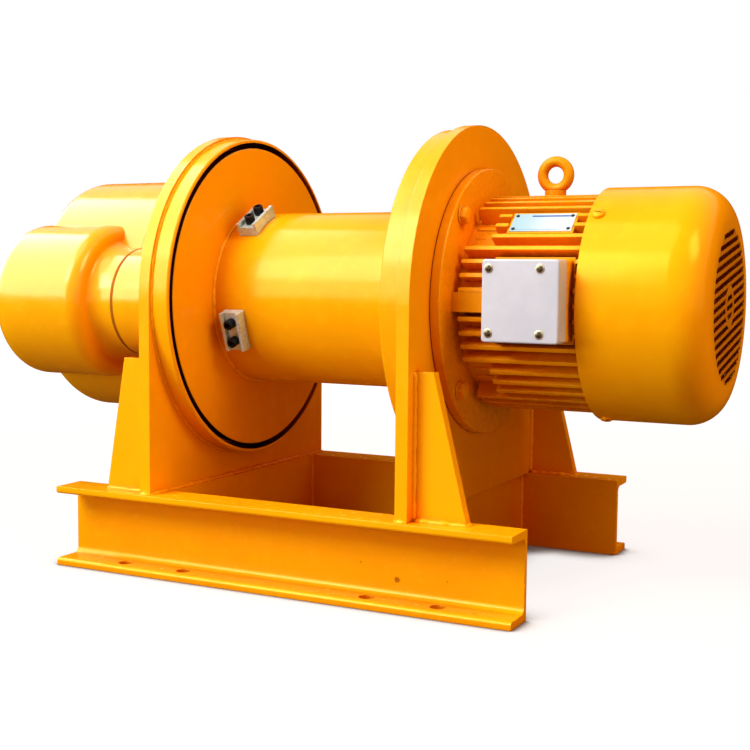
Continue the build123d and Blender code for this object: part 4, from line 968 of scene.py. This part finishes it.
def floor_finish():
    """A pale floor that keeps the shadow near the object, with a painted contact shadow where the object meets it,
    and turns to plain white further off.
    """
    made = bpy.data.materials.new("pale_floor")
    made.use_nodes = True
    tree = made.node_tree
    tree.nodes.clear()
    coords = node(tree, "TexCoord").outputs["Object"]
    away = node(tree, "VectorMath", {0: coords}, operation="LENGTH").outputs["Value"]
    # Painted contact shadow: the glow darkens where the floor meets the object
    painted_contact_shadow = node(tree, "AmbientOcclusion", {"Distance": painted_shadow_reach}, samples=8).outputs["AO"]
    painted_contact_shadow = between(tree, painted_contact_shadow, 0.55, 0.97, 0.04, 1.0)
    glow = product(tree, between(tree, away, floor_near, floor_far, floor_glow, 1.0), painted_contact_shadow)
    light = node(tree, "Emission", {"Color": white, "Strength": product(tree, glow, seen_rays(tree))})
    base = node(tree, "BsdfDiffuse", {"Color": floor_tone})
    both = node(tree, "AddShader", {0: base.outputs[0], 1: light.outputs[0]})
    output = node(tree, "OutputMaterial")
    tree.links.new(both.outputs[0], output.inputs["Surface"])
    return made


def add_floor():
    made = bmesh.new()
    bmesh.ops.create_grid(made, x_segments=12, y_segments=12, size=floor_reach)
    mesh = finished_mesh("floor", made)
    mesh.materials.append(floor_finish())
    floor = placed("floor", mesh)
    floor.location.z = rail_lo.z - floor_drop


def add_flag():
    """A dark card under and round the winch that shows in gloss alone, so that the paint stays deep below
    its highlights and pale edges keep their outline."""
    finish, _, shader, _ = new_material("dark_flag")
    shader.inputs["Base Color"].default_value = flag_tone
    shader.inputs["Specular IOR Level"].default_value = 0.0
    made = bmesh.new()
    rows = [[made.verts.new((x, y, z)) for x in (-flag_reach, flag_reach)] for y, z in flag_section]
    for (left, right), (next_left, next_right) in zip(rows, rows[1:]):
        made.faces.new((left, right, next_right, next_left))
    mesh = finished_mesh("flag", made)
    mesh.materials.append(finish)
    flag = placed("flag", mesh)
    flag.visible_camera = False
    flag.visible_diffuse = False
    flag.visible_transmission = False
    flag.visible_shadow = False


def add_world():
    """White surroundings where they show, and a low warm fill elsewhere."""
    world = bpy.data.worlds.new("studio")
    bpy.context.scene.world = world
    world.use_nodes = True
    tree = world.node_tree
    tree.nodes.clear()
    seen = seen_rays(tree)
    tone = mix(tree, seen, fill_tone, white)
    strength = between(tree, seen, 0.0, 1.0, fill_strength, 1.0)
    back = node(tree, "Background", {"Color": tone, "Strength": strength})
    output = node(tree, "OutputWorld")
    tree.links.new(back.outputs[0], output.inputs["Surface"])


def add_lamp(name, place, target, size, power, colour=(1.0, 1.0, 1.0), gloss_only=False, gloss=True):
    """A soft area lamp, a card that shows in gloss alone, or a lamp that doesn't show in gloss."""
    lamp = bpy.data.lights.new(name, "AREA")
    lamp.shape = "RECTANGLE"
    lamp.size, lamp.size_y = size
    lamp.energy = power
    lamp.color = colour
    made = placed(name, lamp)
    made.location = place
    made.rotation_euler = (Vector(target) - Vector(place)).to_track_quat("-Z", "Y").to_euler()
    made.visible_camera = False
    made.visible_diffuse = not gloss_only
    made.visible_glossy = gloss


def add_camera():
    """The camera of the photograph, from its azimuth, elevation and roll."""
    flat = math.cos(camera_elevation)
    forward = Vector((-math.sin(camera_azimuth) * flat, math.cos(camera_azimuth) * flat,
                      -math.sin(camera_elevation)))
    right = Vector((math.cos(camera_azimuth), math.sin(camera_azimuth), 0))
    up = right.cross(forward)
    lens = bpy.data.cameras.new("camera")
    lens.lens = camera_lens
    lens.sensor_width = camera_sensor
    lens.clip_start = camera_near
    lens.clip_end = camera_far
    camera = placed("camera", lens)
    across = right * math.cos(camera_roll) + up * math.sin(camera_roll)
    camera.matrix_world = pose_of(camera_place, -forward, across)
    bpy.context.scene.camera = camera


middle = (0, 0, 0.25)
add_floor()
add_flag()
add_world()
add_lamp("key", (-1.1, -2.2, 2.1), middle, size=(1.5, 1.5), power=88)
add_lamp("low", (-1.7, -2.1, 0.5), middle, size=(1.0, 0.6), power=20, gloss=False)
add_lamp("top", (-0.4, -0.9, 2.5), middle, size=(1.4, 1.4), power=24)
add_lamp("side", (2.1, -0.5, 2.1), middle, size=(1.0, 1.0), power=42, colour=side_tone)
add_lamp("side_low", (2.3, -1.1, 0.45), middle, size=(1.0, 0.6), power=7, colour=side_low_tone, gloss=False)
add_lamp("back", (-0.9, 2.6, 0.9), middle, size=(1.2, 1.0), power=20, gloss=False)
add_lamp("gloss_card", (-1.6, -1.9, 2.03), (0, -1.9, 2.03), size=(5.1, 3.16), power=404, gloss_only=True)
add_camera()

bpy.context.scene.view_settings.view_transform = "Standard"
